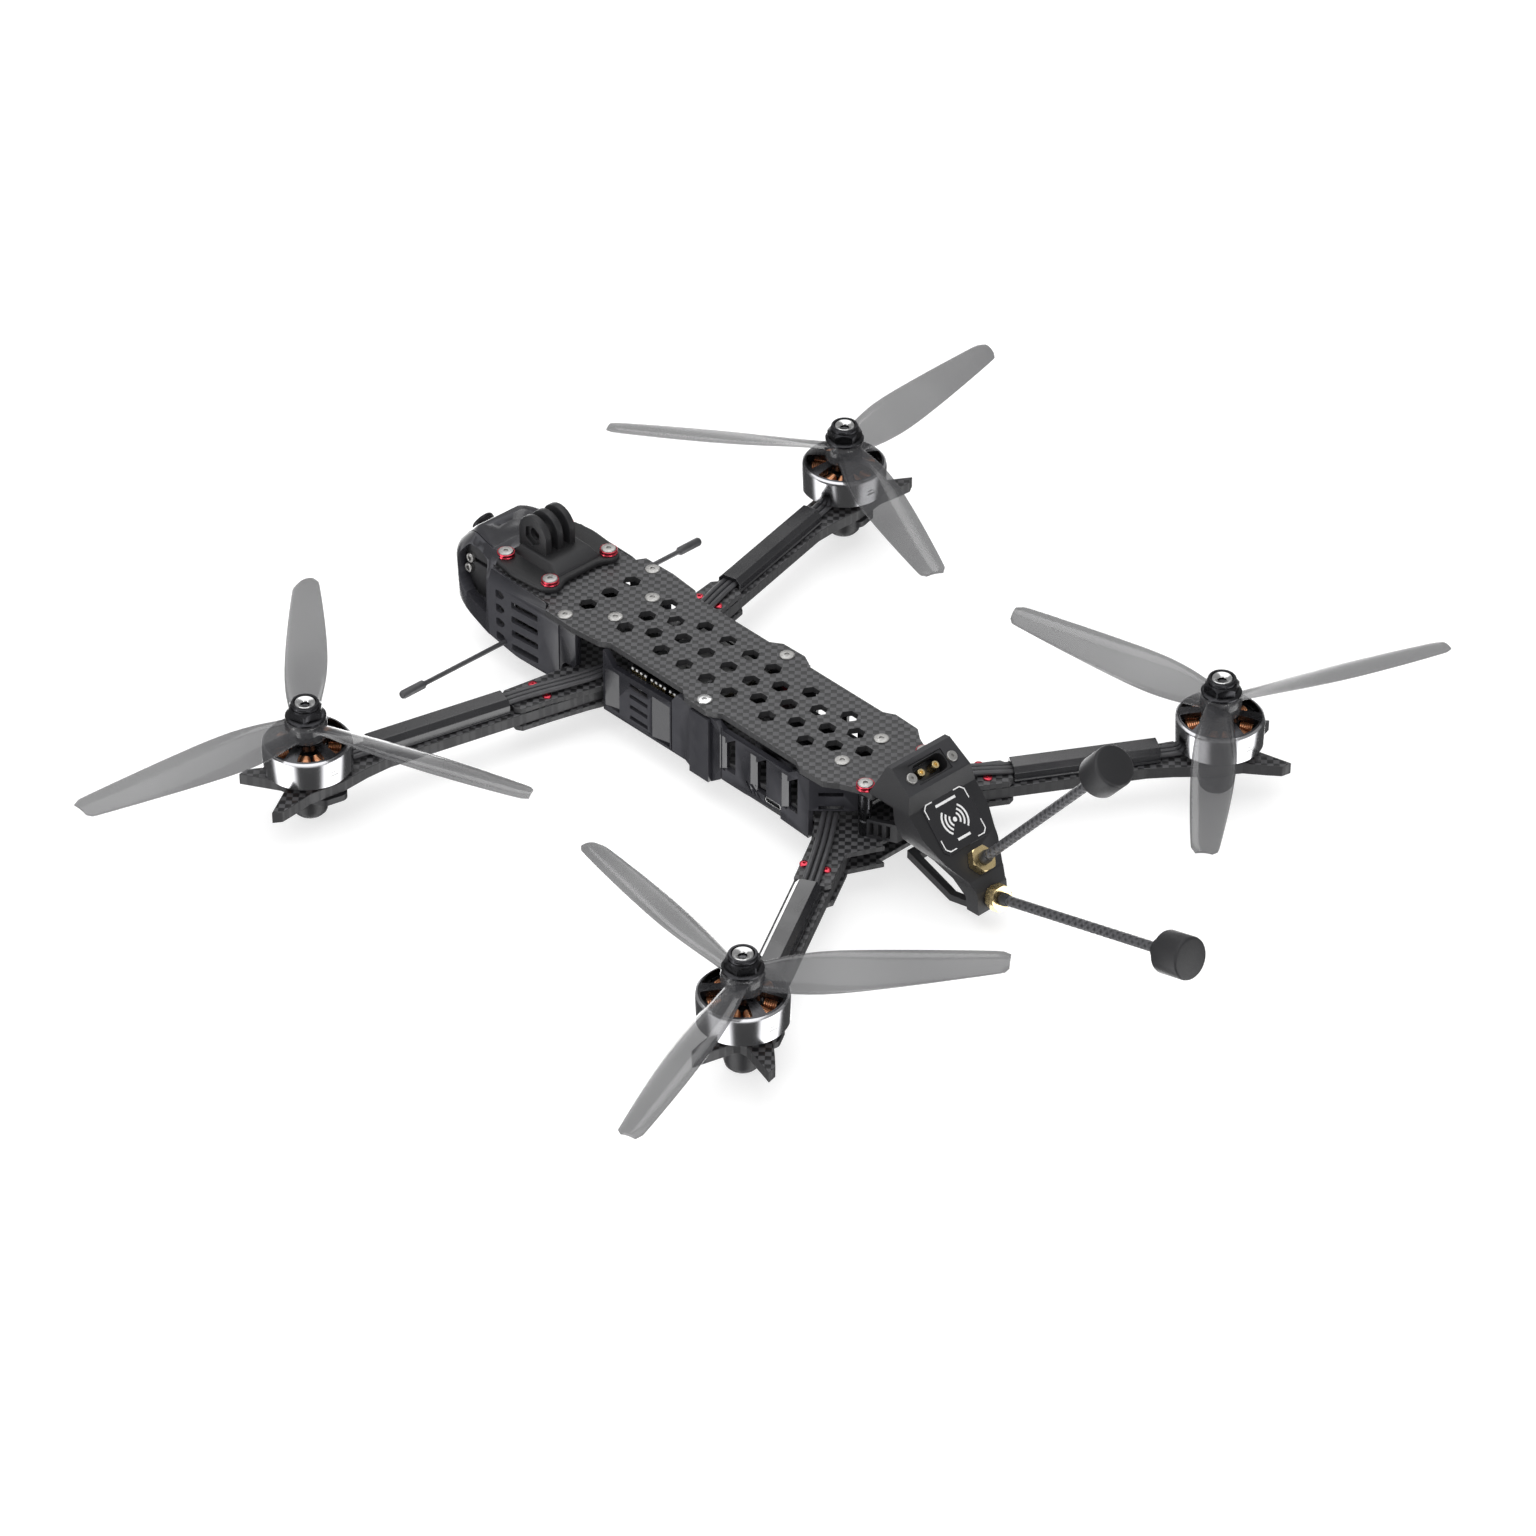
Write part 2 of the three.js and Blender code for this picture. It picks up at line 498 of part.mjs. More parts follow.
// ---- tail mount ---------------------------------------------------------------------------------
// A soft boom over the tail: battery socket on top, antenna label on the slope, antenna sockets below.
const TAIL_BACK = [[71.4, 45], [74, 45.4], [84, 38.2], [85.5, 31.3], [98.5, 18.3], [109, 9.5], [112, 5], [113, -3.5]];
const TAIL_HALF_WIDTHS = [[7.6, -6], [7.4, 6], [8.8, 10], [13.4, 16], [16.6, 24], [16.8, 32], [15.6, 38], [14.6, 46]];

const socketSpot = ({ y, z, pitch }, distance) => {
  const turn = THREE.MathUtils.degToRad(pitch);
  return [0, y + distance * Math.cos(turn), z + distance * Math.sin(turn)];
};

function tailMount() {
  const side = alongX([
    ...TAIL_BACK, [107, -3.8], [106, 1.6], [99.5, 5.8], [79, 15.5], [77, ROOF_Z + GAP], [64.5, ROOF_Z + GAP],
  ].reverse(), -20, 20);
  const face = alongY(bothSides(TAIL_HALF_WIDTHS), 60, 120);
  const inside = alongX([
    [60, 31.9], [60, 41.5], [81, 37.2], [83, 30.2], [96.8, 16.4], [104.5, 9.6], [101.5, 8.6], [82, 18], [79.4, 30.5],
    [77, 31.9],
  ], -20, 20);
  const insideFace = alongY(bothSides([[6.2, 6], [6.8, 11], [11.2, 17], [14.4, 24], [14.4, 31], [12.4, 42]]), 58, 120);
  const socket = box(-8.2, 8.2, -4.2, 4.2, -8, 4).rotateX(-0.62).translate(0, 79, 41.8);
  const bores = ANTENNAS.map((antenna) => pitched(new THREE.CylinderGeometry(3.5, 3.5, 26, 20)
    .rotateX(Math.PI / 2), antenna.pitch).translate(...socketSpot(antenna, -4)));
  const strut = alongX([[74.6, 1.2], [97, -6], [108, -3.4], [108, -0.8], [97.4, -3], [74.6, 4.6]], -6.5, 6.5);
  const strutGap = alongX([[78, 10], [78, -8], [104, -8], [104, 6]], -3.4, 3.4);
  const shell = cut(overlap(side, face), overlap(inside, insideFace), socket);
  return cut(join(shell, cut(strut, strutGap)), ...bores);
}
piece('tail_mount', tailMount(), TPU);

// Slotted bracket that stands on the clamp plate's tail and braces the tail mount.
const bracketWalls = slab(bothSides([[17, 63.8], [11.4, 74.2]]), DECK_Z + GAP, 18);
const bracketRoom = slab(bothSides([[15.2, 63.7], [9.8, 72.4]]), DECK_Z - 1, 19);
piece('tail_bracket', cut(bracketWalls, bracketRoom, slab([[-15.2, 62], [15.2, 62], [15.2, 64], [-15.2, 64]], 9, 19),
  ...[65.4, 68.2, 71].map((y) => box(-20, 20, y - 0.7, y + 0.7, 11.4, 16.8))), TPU);

const socketPlate = box(-7.6, 7.6, -3.6, 3.6, -8.6, -1).rotateX(-0.62).translate(0, 79, 41.8);
piece('battery_connector', cut(socketPlate,
  ...[-3.6, 3.6].map((x) => box(x - 1.7, x + 1.7, -1.7, 1.7, -8, 2).rotateX(-0.62).translate(0, 79, 41.8))), GLOSS_BLACK);

piece('gps_module', box(-7.2, 7.2, -8.6, 7.2, -2.2, 2.2).rotateX(-Math.PI / 4).translate(0, 88.6, 19.8), BOARD);

for (const antenna of ANTENNAS) {
  const { key, pitch, reach } = antenna;
  const place = (geometry, distance) => pitched(geometry, pitch).translate(...socketSpot(antenna, distance));
  const barrel = turned([[0, -7], [3.1, -7], [3.1, 4.8], [0, 4.8]], 20);
  const nut = turned([[0, 1.4], [4.7, 1.4], [4.7, 4.6], [0, 4.6]], 6);
  piece(`sma_socket_${key}`, place(join(barrel, nut), 0), GOLD);
  piece(`video_antenna_${key}`, place(turned([
    [0, 5.1], [2.9, 5.1], [2.9, 8], [2.1, 9], [2.1, reach - 16.6], [4, reach - 16.4], [4, reach - 12.4],
    [7.4, reach - 12.4], [8, reach - 11.8], [8, reach - 0.6], [7.4, reach], [0, reach],
  ], 28), 0), TPU);
}

// ---- receiver antennas, held in the cheeks ------------------------------------------------------
for (const [name, side] of [['receiver_antenna_left', 1], ['receiver_antenna_right', -1]]) {
  const rod = turned([[0, PANEL_X + GAP], [0.95, PANEL_X + GAP], [0.95, 65.5], [1.7, 66.5], [1.7, 77], [0, 77]], 10);
  piece(name, rod.rotateY(side * Math.PI / 2).translate(0, -128.5, 1.9), WIRE);
}

// ---- electronics between the plates -------------------------------------------------------------
const stack = { y: -44, half: 19 };
const chips = (z, spots) => spots.map(([x, y, w, d, h]) =>
  box(x - w / 2, x + w / 2, stack.y + y - d / 2, stack.y + y + d / 2, z - 0.2, z + h));
piece('esc_board', join(
  box(-20.5, 20.5, stack.y - 21, stack.y + 21, 12.4, 14),
  ...chips(14, [[-14, -12, 9, 7, 1.2], [14, -12, 9, 7, 1.2], [-14, 12, 9, 7, 1.2], [14, 12, 9, 7, 1.2]])), BOARD);
piece('flight_controller', join(
  box(-stack.half, stack.half, stack.y - stack.half, stack.y + stack.half, 19.6, 21.2),
  ...chips(21.2, [[0, 0, 8, 8, 1.1], [-11, 8, 5, 6, 1], [15.5, 2, 5, 9, 2.8], [15, -11, 5, 7, 2.2], [9, 14, 6, 4, 1]])),
BOARD);
piece('video_transmitter', join(
  box(-15, 15, 2, 34, 12.4, 19), ...[-10, -5, 0, 5, 10].map((x) => box(x - 0.8, x + 0.8, 4, 32, 18.8, 21))), BOARD);
piece('receiver_board', box(-9, 9, -84, -70, 13.4, 15.2), BOARD);
piece('power_capacitor', new THREE.CylinderGeometry(5, 5, 19, 24).rotateZ(Math.PI / 2)
  .translate(0, 52, 16), GLOSS_BLACK);

export default drone;
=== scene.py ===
"""The looks of a long-range FPV quadcopter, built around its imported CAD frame.

Lengths inside the helper functions are millimetres, as in the CAD part, and turn into metres when a mesh is
made. Nose toward -Y, the drone's left toward +X, z = 0 at the bottom plate's underside.
"""

import json
import math
import random

import bmesh
import bpy
from mathutils import Matrix, Vector


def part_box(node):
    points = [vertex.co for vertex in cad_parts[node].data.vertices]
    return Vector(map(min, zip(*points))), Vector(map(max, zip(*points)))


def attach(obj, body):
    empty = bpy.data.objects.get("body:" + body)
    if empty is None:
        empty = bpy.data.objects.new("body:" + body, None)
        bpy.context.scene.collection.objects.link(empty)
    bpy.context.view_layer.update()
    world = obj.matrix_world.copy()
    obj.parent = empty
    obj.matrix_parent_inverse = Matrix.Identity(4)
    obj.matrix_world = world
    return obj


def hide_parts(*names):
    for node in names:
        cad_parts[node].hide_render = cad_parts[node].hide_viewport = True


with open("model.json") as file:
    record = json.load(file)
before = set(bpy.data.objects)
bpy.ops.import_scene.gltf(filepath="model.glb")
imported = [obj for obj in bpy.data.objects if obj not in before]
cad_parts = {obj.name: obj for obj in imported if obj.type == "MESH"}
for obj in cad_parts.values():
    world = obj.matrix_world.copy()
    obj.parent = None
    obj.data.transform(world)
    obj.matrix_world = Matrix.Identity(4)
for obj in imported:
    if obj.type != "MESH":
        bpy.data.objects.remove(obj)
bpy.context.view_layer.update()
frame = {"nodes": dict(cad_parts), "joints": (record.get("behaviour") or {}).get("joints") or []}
MM = 0.001
JOINTS = {joint["name"]: joint for joint in frame["joints"]}

# ---- driving sizes ----
# Millimetres, apart from FLOOR_Z, which is in metres.
FLOOR_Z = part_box("motor_foot_front_left")[0].z
ARM_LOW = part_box("arm_front_left")[0].z / MM
ARM_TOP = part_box("arm_front_left")[1].z / MM
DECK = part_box("clamp_plate")[1].z / MM
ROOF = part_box("top_plate")[1].z / MM
ROOF_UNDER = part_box("top_plate")[0].z / MM
CLEARANCE = 0.3
BELL_R = 17
BELL_LOW = 10.5
BELL_TOP = 23.2
HUB_LOW = BELL_TOP + CLEARANCE
HUB_TOP = 31.5
PROP_R = 95.25
BLADE_ROOT = 5
TIP = 5
TEETH = 12
POLES = 14
SIDE_X = 24.6
FIN_Y, FIN_Z = -131, 42

# Each corner: the direction outward in degrees, which side of it is the drone's rear, how far toward the rear
# the leads and the fork sit, where the wire cover starts and ends, the blades' rest angle and their hand.
CORNERS = {
    "front_left": dict(out=-13.5, rear=1, shift=0.5, fork=3.4, cover=(-82, -25), blades=110.5, spin=-1),
    "front_right": dict(out=193.5, rear=-1, shift=0.5, fork=3.4, cover=(-83.1, -25), blades=67.8, spin=1),
    "rear_left": dict(out=30.3, rear=1, shift=1.2, fork=2.6, cover=(-78.5, -25), blades=22.75, spin=1),
    "rear_right": dict(out=149.7, rear=-1, shift=1.2, fork=2.6, cover=(-80.6, -24), blades=39.6, spin=-1),
}

# The view: azimuth and elevation of the eye in degrees, its distance, and where it aims.
AZIMUTH = 136.65
ELEVATION = 36.36
ROLL = 0.30
EYE_DISTANCE = 2.1806
EYE_OFFSET = (-0.0048, -0.0228)
AIM_Z = 0.0268
LENS = 137.34

# The studio: how bright it is overhead, at the horizon, and below it between and on the light panels.
ZENITH_LIGHT = 0.5
SKY_LIGHT = 0.3
CLOTH_LIGHT = 0.1
PANEL_LIGHT = 3.9
HORIZON_LIGHT = 1.3
PANEL_PHASE = 111


# ---- materials ----
class Wiring:
    """A node tree and the few moves its recipes need; a value may be another node's output."""

    def __init__(self, tree):
        self.tree = tree

    def wire(self, value, socket):
        if isinstance(value, bpy.types.NodeSocket):
            self.tree.links.new(value, socket)
        else:
            socket.default_value = value

    def node(self, kind, values=None, **settings):
        made = self.tree.nodes.new("ShaderNode" + kind)
        for key, value in settings.items():
            setattr(made, key, value)
        for key, value in (values or {}).items():
            self.wire(value, made.inputs[key])
        return made

    def math(self, operation, *values, clamp=False):
        made = self.node("Math", dict(enumerate(values)), operation=operation, use_clamp=clamp)
        return made.outputs[0]

    def split(self, vector):
        return self.node("SeparateXYZ", {0: vector}).outputs


class Paint(Wiring):
    """One procedural material."""

    def __init__(self, name, color, roughness, metallic=0.0):
        self.material = bpy.data.materials.new(name)
        self.material.use_nodes = True
        super().__init__(self.material.node_tree)
        self.surface = self.tree.nodes["Principled BSDF"]
        self.set("Base Color", (*color, 1.0))
        self.set("Roughness", roughness)
        self.set("Metallic", metallic)
        self.place = self.node("TexCoord").outputs["Object"]

    def set(self, name, value):
        self.wire(value, self.surface.inputs[name])

    def mix(self, factor, a, b):
        a, b = (value if isinstance(value, bpy.types.NodeSocket) else (*value, 1.0) for value in (a, b))
        return self.node("Mix", {"Factor": factor, "A": a, "B": b}, data_type="RGBA").outputs["Result"]

    def noise(self, scale, detail=3.0, place=None):
        values = {"Vector": place or self.place, "Scale": scale, "Detail": detail}
        return self.node("TexNoise", values).outputs["Fac"]

    def spread(self, value, low, high):
        """Stretches the middle of a noise over the range from low to high."""
        values = {"Value": value, "From Min": 0.3, "From Max": 0.7, "To Min": low, "To Max": high}
        return self.node("MapRange", values).outputs["Result"]

    def rough(self, scale, low, high):
        self.set("Roughness", self.spread(self.noise(scale), low, high))

    def tint(self, scale, dark, light):
        self.set("Base Color", self.mix(self.noise(scale), dark, light))

    def coat(self, weight, roughness):
        self.set("Coat Weight", weight)
        self.set("Coat Roughness", roughness)

    def bump(self, height, strength, depth):
        """The last step of a recipe: bumps `depth` millimetres high. Gives back the material."""
        made = self.node("Bump", {"Strength": strength, "Distance": depth * MM, "Height": height})
        self.set("Normal", made.outputs["Normal"])
        return self.material

    def wear_and_edge_highlight(self, color, edge):
        """Blends toward `edge` where the surface bends outward, a painted edge highlight together with edge
        wear, with a little cloudiness over the rest.
        """
        bend = self.node("NewGeometry").outputs["Pointiness"]
        rim = self.math("MULTIPLY", self.math("SUBTRACT", bend, 0.505), 9.0)
        rim = self.math("MINIMUM", self.math("MAXIMUM", rim, 0.0), 1.0)
        rim = self.math("MULTIPLY", rim, 0.5)
        cloud = self.mix(self.noise(90.0), tuple(c * 0.86 for c in color), tuple(c * 1.14 for c in color))
        # Outward edges painted lighter: painted highlight as well as wear.
        self.set("Base Color", self.mix(rim, cloud, edge))


def carbon():
    """Woven carbon laminate: 2.3 mm tows on the bias, over and under, alternate tows painted lighter as a
    painted sheen, with plain layered edges.
    """
    tow_width = 2.3 * MM
    layer_pitch = 0.42 * MM
    paint = Paint("carbon_weave", (0.05, 0.05, 0.055), 0.4)
    bias = {"Vector": paint.place, "Angle": math.radians(45)}
    turn = paint.node("VectorRotate", bias, rotation_type="Z_AXIS")
    x, y, z = paint.split(turn.outputs[0])
    across = paint.math("MULTIPLY", x, 1 / tow_width)
    along = paint.math("MULTIPLY", y, 1 / tow_width)
    over = paint.math("ADD", paint.math("FLOOR", across), paint.math("FLOOR", along))
    over = paint.math("ROUND", paint.math("FRACT", paint.math("MULTIPLY", over, 0.5)))
    warp = paint.math("ABSOLUTE", paint.math("SINE", paint.math("MULTIPLY", across, math.pi)))
    weft = paint.math("ABSOLUTE", paint.math("SINE", paint.math("MULTIPLY", along, math.pi)))
    round_tow = paint.math("ADD", paint.math("MULTIPLY", warp, over),
                           paint.math("MULTIPLY", weft, paint.math("SUBTRACT", 1.0, over)))
    fibres = paint.noise(2600.0, 2.0)
    # The tows running one way are painted far lighter than the others: a painted sheen in place of how
    # crossing tows reflect light differently.
    tow = paint.mix(over, (0.011, 0.011, 0.012), (0.084, 0.084, 0.088))
    tow = paint.mix(paint.math("MULTIPLY", fibres, 0.35), tow, (0.018, 0.018, 0.02))
    normal_z = paint.split(paint.node("NewGeometry").outputs["Normal"])[2]
    edge = paint.math("LESS_THAN", paint.math("ABSOLUTE", normal_z), 0.6)
    layers = paint.math("SINE", paint.math("MULTIPLY", z, 2 * math.pi / layer_pitch))
    side = paint.mix(paint.math("MULTIPLY", paint.math("ADD", layers, 1.0), 0.5),
                     (0.018, 0.018, 0.019), (0.032, 0.032, 0.034))
    paint.set("Base Color", paint.mix(edge, tow, side))
    rough = paint.math("ADD", 0.42, paint.math("MULTIPLY", over, 0.14))
    paint.set("Roughness", paint.math("ADD", rough, paint.math("MULTIPLY", edge, 0.12)))
    paint.set("Specular IOR Level", 0.38)
    paint.coat(0.08, 0.25)
    return paint.bump(paint.math("MULTIPLY", round_tow, paint.math("SUBTRACT", 1.0, edge)), 0.35, 0.25)


def moulded():
    """Satin dark blue-grey injection-moulded plastic with a fine spark-eroded grain."""
    paint = Paint("moulded_plastic", (0.02, 0.02, 0.024), 0.3)
    # Outward edges painted lighter: a painted edge highlight together with edge wear.
    paint.wear_and_edge_highlight((0.014, 0.014, 0.0175), (0.08, 0.08, 0.09))
    paint.rough(260.0, 0.17, 0.26)
    return paint.bump(paint.noise(5200.0, 4.0), 0.1, 0.06)


def soft_black():
    """Printed flexible plastic: matt black, faint layer lines, edges painted slightly lighter: a painted edge
    highlight together with slight polish.
    """
    paint = Paint("soft_black", (0.010, 0.010, 0.011), 0.45)
    # Outward edges painted lighter: a painted edge highlight together with polish.
    paint.wear_and_edge_highlight((0.010, 0.010, 0.011), (0.05, 0.05, 0.055))
    paint.set("Specular IOR Level", 0.32)
    z = paint.split(paint.place)[2]
    lines = paint.math("SINE", paint.math("MULTIPLY", z, 2 * math.pi / (0.24 * MM)))
    grain = paint.noise(3000.0)
    paint.set("Roughness", paint.spread(grain, 0.42, 0.58))
    return paint.bump(paint.math("ADD", paint.math("MULTIPLY", lines, 0.25), grain), 0.12, 0.05)


def gloss_black():
    """High-gloss black moulding with a faint flow ripple."""
    paint = Paint("gloss_black", (0.012, 0.012, 0.014), 0.1)
    paint.rough(60.0, 0.2, 0.3)
    paint.coat(0.15, 0.12)
    return paint.bump(paint.noise(120.0, 2.0), 0.05, 0.3)


def metal(name, color, roughness):
    """Turned or plated metal: fine grain, and roughness that drifts across the surface."""
    paint = Paint(name, color, roughness, 1.0)
    paint.tint(140.0, tuple(c * 0.85 for c in color), color)
    paint.rough(900.0, roughness * 0.75, roughness * 1.3)
    return paint.bump(paint.noise(2700.0, 2.0), 0.05, 0.04)


def polished_bell():
    """Mirror-polished aluminium with turning marks that run round the bell's own axis."""
    paint = Paint("polished_bell", (0.46, 0.46, 0.475), 0.1, 1.0)
    rings = paint.node("CombineXYZ", {"Z": paint.split(paint.place)[2]})
    turning = paint.noise(9000.0, 2.0, rings.outputs[0])
    paint.set("Roughness", paint.spread(turning, 0.14, 0.24))
    return paint.bump(turning, 0.05, 0.02)


def smoke():
    """Smoke-grey translucent polycarbonate, thin enough to see the arms through."""
    paint = Paint("smoke_polycarbonate", (0.06, 0.06, 0.064), 0.12)
    paint.rough(70.0, 0.12, 0.2)
    paint.set("Alpha", paint.spread(paint.noise(18.0, 1.0), 0.56, 0.64))
    paint.coat(0.25, 0.12)
    return paint.bump(paint.noise(40.0, 1.0), 0.03, 0.1)


def copper():
    """Enamelled copper wire."""
    paint = Paint("enamelled_copper", (0.62, 0.27, 0.12), 0.28, 0.9)
    paint.tint(700.0, (0.42, 0.15, 0.06), (0.83, 0.42, 0.22))
    paint.set("Coat Weight", 0.5)
    return paint.bump(paint.noise(2500.0, 1.0), 0.08, 0.05)


def silicone():
    """Soft wire jacket with a dusty bloom."""
    paint = Paint("silicone_jacket", (0.035, 0.035, 0.038), 0.45)
    paint.tint(160.0, (0.026, 0.026, 0.028), (0.06, 0.06, 0.065))
    paint.rough(500.0, 0.36, 0.52)
    return paint.bump(paint.noise(2500.0), 0.08, 0.05)


def braided():
    """Braided sleeve: two sets of strands that cross as they wind round the stalk's own axis."""
    paint = Paint("braided_sleeve", (0.03, 0.03, 0.033), 0.5)
    x, y, z = paint.split(paint.place)
    round_ = paint.math("ARCTAN2", y, x)
    rise = paint.math("MULTIPLY", z, 2 * math.pi / (3.2 * MM))
    strands = paint.math("MULTIPLY", round_, 4.0)
    left = paint.math("SINE", paint.math("ADD", strands, rise))
    right = paint.math("SINE", paint.math("SUBTRACT", strands, rise))
    weave = paint.math("MAXIMUM", left, right)
    # Strand crests painted lighter and the hollows between strands darker: painted shade between the strands.
    paint.set("Base Color", paint.mix(paint.math("MULTIPLY", paint.math("ADD", weave, 1.0), 0.5),
                                      (0.012, 0.012, 0.014), (0.06, 0.06, 0.066)))
    paint.rough(900.0, 0.4, 0.6)
    return paint.bump(weave, 0.5, 0.25)


def printed_white():
    """White pad print with slightly worn ink."""
    paint = Paint("white_print", (0.75, 0.75, 0.75), 0.5)
    paint.tint(1500.0, (0.6, 0.6, 0.6), (0.86, 0.86, 0.86))
    return paint.bump(paint.noise(3000.0), 0.05, 0.02)


def solder_mask():
    """Black circuit board with faint copper tracks under the mask."""
    paint = Paint("black_solder_mask", (0.012, 0.014, 0.016), 0.35)
    brick = paint.node("TexBrick", {"Vector": paint.place, "Scale": 420.0, "Mortar Size": 0.012,
                                    "Color1": (0.01, 0.012, 0.014, 1), "Color2": (0.018, 0.02, 0.022, 1),
                                    "Mortar": (0.05, 0.045, 0.03, 1)})
    paint.set("Base Color", brick.outputs["Color"])
    paint.rough(600.0, 0.28, 0.42)
    return paint.bump(brick.outputs["Fac"], 0.1, 0.03)


def camera_glass():
    """Coated front element, with a violet coating reflection painted into its colour toward grazing angles.
    """
    paint = Paint("coated_glass", (0.01, 0.012, 0.03), 0.03)
    facing = paint.node("LayerWeight", {"Blend": 0.35})
    # Colour turns violet toward grazing angles: a painted reflection of the lens coating.
    paint.set("Base Color", paint.mix(facing.outputs["Facing"], (0.008, 0.01, 0.02), (0.05, 0.03, 0.09)))
    paint.set("Coat Weight", 1.0)
    return paint.bump(paint.noise(20.0), 0.01, 0.01)


def pale_floor():
    """Matt white acrylic, lit a little from below so that it stays pale under the aircraft."""
    paint = Paint("pale_floor", (0.5, 0.5, 0.5), 0.6)
    paint.tint(3.0, (0.49, 0.49, 0.49), (0.51, 0.51, 0.51))
    paint.set("Emission Color", (1.0, 1.0, 1.0, 1.0))
    paint.set("Emission Strength", 0.62)
    return paint.bump(paint.noise(40.0), 0.02, 0.2)


CARBON = carbon()
MOULDED = moulded()
SOFT = soft_black()
GLOSS = gloss_black()
BELL = polished_bell()
DARK_BELL = metal("dark_bell_top", (0.07, 0.07, 0.075), 0.3)
STEEL = metal("screw_steel", (0.42, 0.415, 0.405), 0.42)
BRIGHT = metal("bright_ring", (0.6, 0.6, 0.6), 0.2)
NUT = metal("black_nut", (0.035, 0.035, 0.038), 0.3)
RED = metal("red_anodised", (0.62, 0.06, 0.09), 0.27)
GOLD = metal("gold_plate", (0.86, 0.68, 0.36), 0.26)
LAMINATION = metal("stator_steel", (0.12, 0.12, 0.125), 0.45)
HEAT_SINK = metal("black_heat_sink", (0.03, 0.03, 0.033), 0.4)
SMOKE = smoke()
COPPER = copper()
SILICONE = silicone()
BRAID = braided()
WHITE = printed_white()
BOARD = solder_mask()
GLASS = camera_glass()


# ---- mesh helpers ----
def add_object(name, data):
    made = bpy.data.objects.new(name, data)
    bpy.context.scene.collection.objects.link(made)
    return made


def add_bmesh(name, work):
    mesh = bpy.data.meshes.new(name)
    work.to_mesh(mesh)
    work.free()
    return add_object(name, mesh)


def mesh_object(name, verts, faces):
    """An object from points in millimetres, with its faces turned outward."""
    mesh = bpy.data.meshes.new(name)
    mesh.from_pydata([Vector(v) * MM for v in verts], [], faces)
    work = bmesh.new()
    work.from_mesh(mesh)
    bmesh.ops.recalc_face_normals(work, faces=work.faces)
    work.to_mesh(mesh)
    work.free()
    return add_object(name, mesh)


def bands(rings, count, base=0, wrap=False):
    """Quads between neighbouring rings of `count` points; `wrap` joins the last ring to the first."""
    faces = []
    for ring in range(rings if wrap else rings - 1):
        here, there = base + ring * count, base + (ring + 1) % rings * count
        for i in range(count):
            j = (i + 1) % count
            faces.append([here + i, here + j, there + j, there + i])
    return faces


def caps(rings, count):
    last = (rings - 1) * count
    return [list(range(count)), list(range(last, last + count))]


def arc(radius, start, end, steps):
    """Points on a circle about the origin, from one angle to another in degrees, with both ends."""
    turns = [math.radians(start + (end - start) * i / steps) for i in range(steps + 1)]
    return [(radius * math.cos(t), radius * math.sin(t)) for t in turns]


PLACES = {"Z": lambda u, v, w: (u, v, w), "X": lambda u, v, w: (w, u, v), "Y": lambda u, v, w: (u, w, v)}


def prism(outline, low, high, axis="Z"):
    """An outline drawn out from low to high: (x, y) along Z, (y, z) along X, (x, z) along Y."""
    place = PLACES[axis]
    count = len(outline)
    verts = [place(u, v, w) for w in (low, high) for u, v in outline]
    return mesh_object("drawn", verts, caps(2, count) + bands(2, count))


def block(x0, x1, y0, y1, z0, z1):
    return prism([(x0, y0), (x1, y0), (x1, y1), (x0, y1)], z0, z1)


def lathe(profile, steps=64):
    """A turned body about Z from (radius, height) points; a profile off the axis closes on itself."""
    rings, verts = [], []
    for radius, height in profile:
        turns = [0.0] if radius == 0 else [2 * math.pi * i / steps for i in range(steps)]
        rings.append([len(verts) + i for i in range(len(turns))])
        verts += [(radius * math.cos(t), radius * math.sin(t), height) for t in turns]
    pairs = list(zip(rings, rings[1:]))
    if profile[0][0] and profile[-1][0]:
        pairs.append((rings[-1], rings[0]))
    faces = []
    for low, high in pairs:
        for i in range(steps):
            j = (i + 1) % steps
            quad = [low[i % len(low)], low[j % len(low)], high[j % len(high)], high[i % len(high)]]
            corner = list(dict.fromkeys(quad))
            if len(corner) > 2:
                faces.append(corner)
    return mesh_object("turned", verts, faces)


def drum(radius, low, high, steps=48, bore=0):
    return lathe([(bore, low), (radius, low), (radius, high), (bore, high)], steps)


def tube(route, radius):
    """A round wire along a smooth route of points."""
    curve = bpy.data.curves.new("tube", "CURVE")
    curve.dimensions = "3D"
    curve.bevel_depth = radius * MM
    curve.bevel_resolution = 3
    curve.use_fill_caps = True
    curve.resolution_u = 6
    line = curve.splines.new("NURBS")
    line.points.add(len(route) - 1)
    for point, place in zip(line.points, route):
        point.co = (*(Vector(place) * MM), 1.0)
    line.use_endpoint_u = True
    line.order_u = 3
    return bake(add_object("tube", curve))


def bake(made):
    """Turns a curve, or a mesh with modifiers, into its final mesh."""
    bpy.context.view_layer.update()
    mesh = bpy.data.meshes.new_from_object(made.evaluated_get(bpy.context.evaluated_depsgraph_get()))
    name = made.name
    fresh = bpy.data.objects.new(name, mesh)
    fresh.matrix_world = made.matrix_world
    bpy.data.objects.remove(made)
    bpy.context.scene.collection.objects.link(fresh)
    fresh.name = name
    return fresh


def carve(made, *tools, how="DIFFERENCE"):
    """Cuts the tools out of a piece, or joins or intersects it with them."""
    for tool in tools:
        step = made.modifiers.new("cut", "BOOLEAN")
        step.operation = how
        step.solver = "EXACT"
        step.object = tool
    made = bake(made)
    for tool in tools:
        bpy.data.objects.remove(tool)
    return made


def move(made, matrix):
    made.data.transform(matrix)
    return made


def at(x=0.0, y=0.0, z=0.0):
    return Matrix.Translation(Vector((x, y, z)) * MM)


def turned(degrees, axis):
    return Matrix.Rotation(math.radians(degrees), 4, axis)


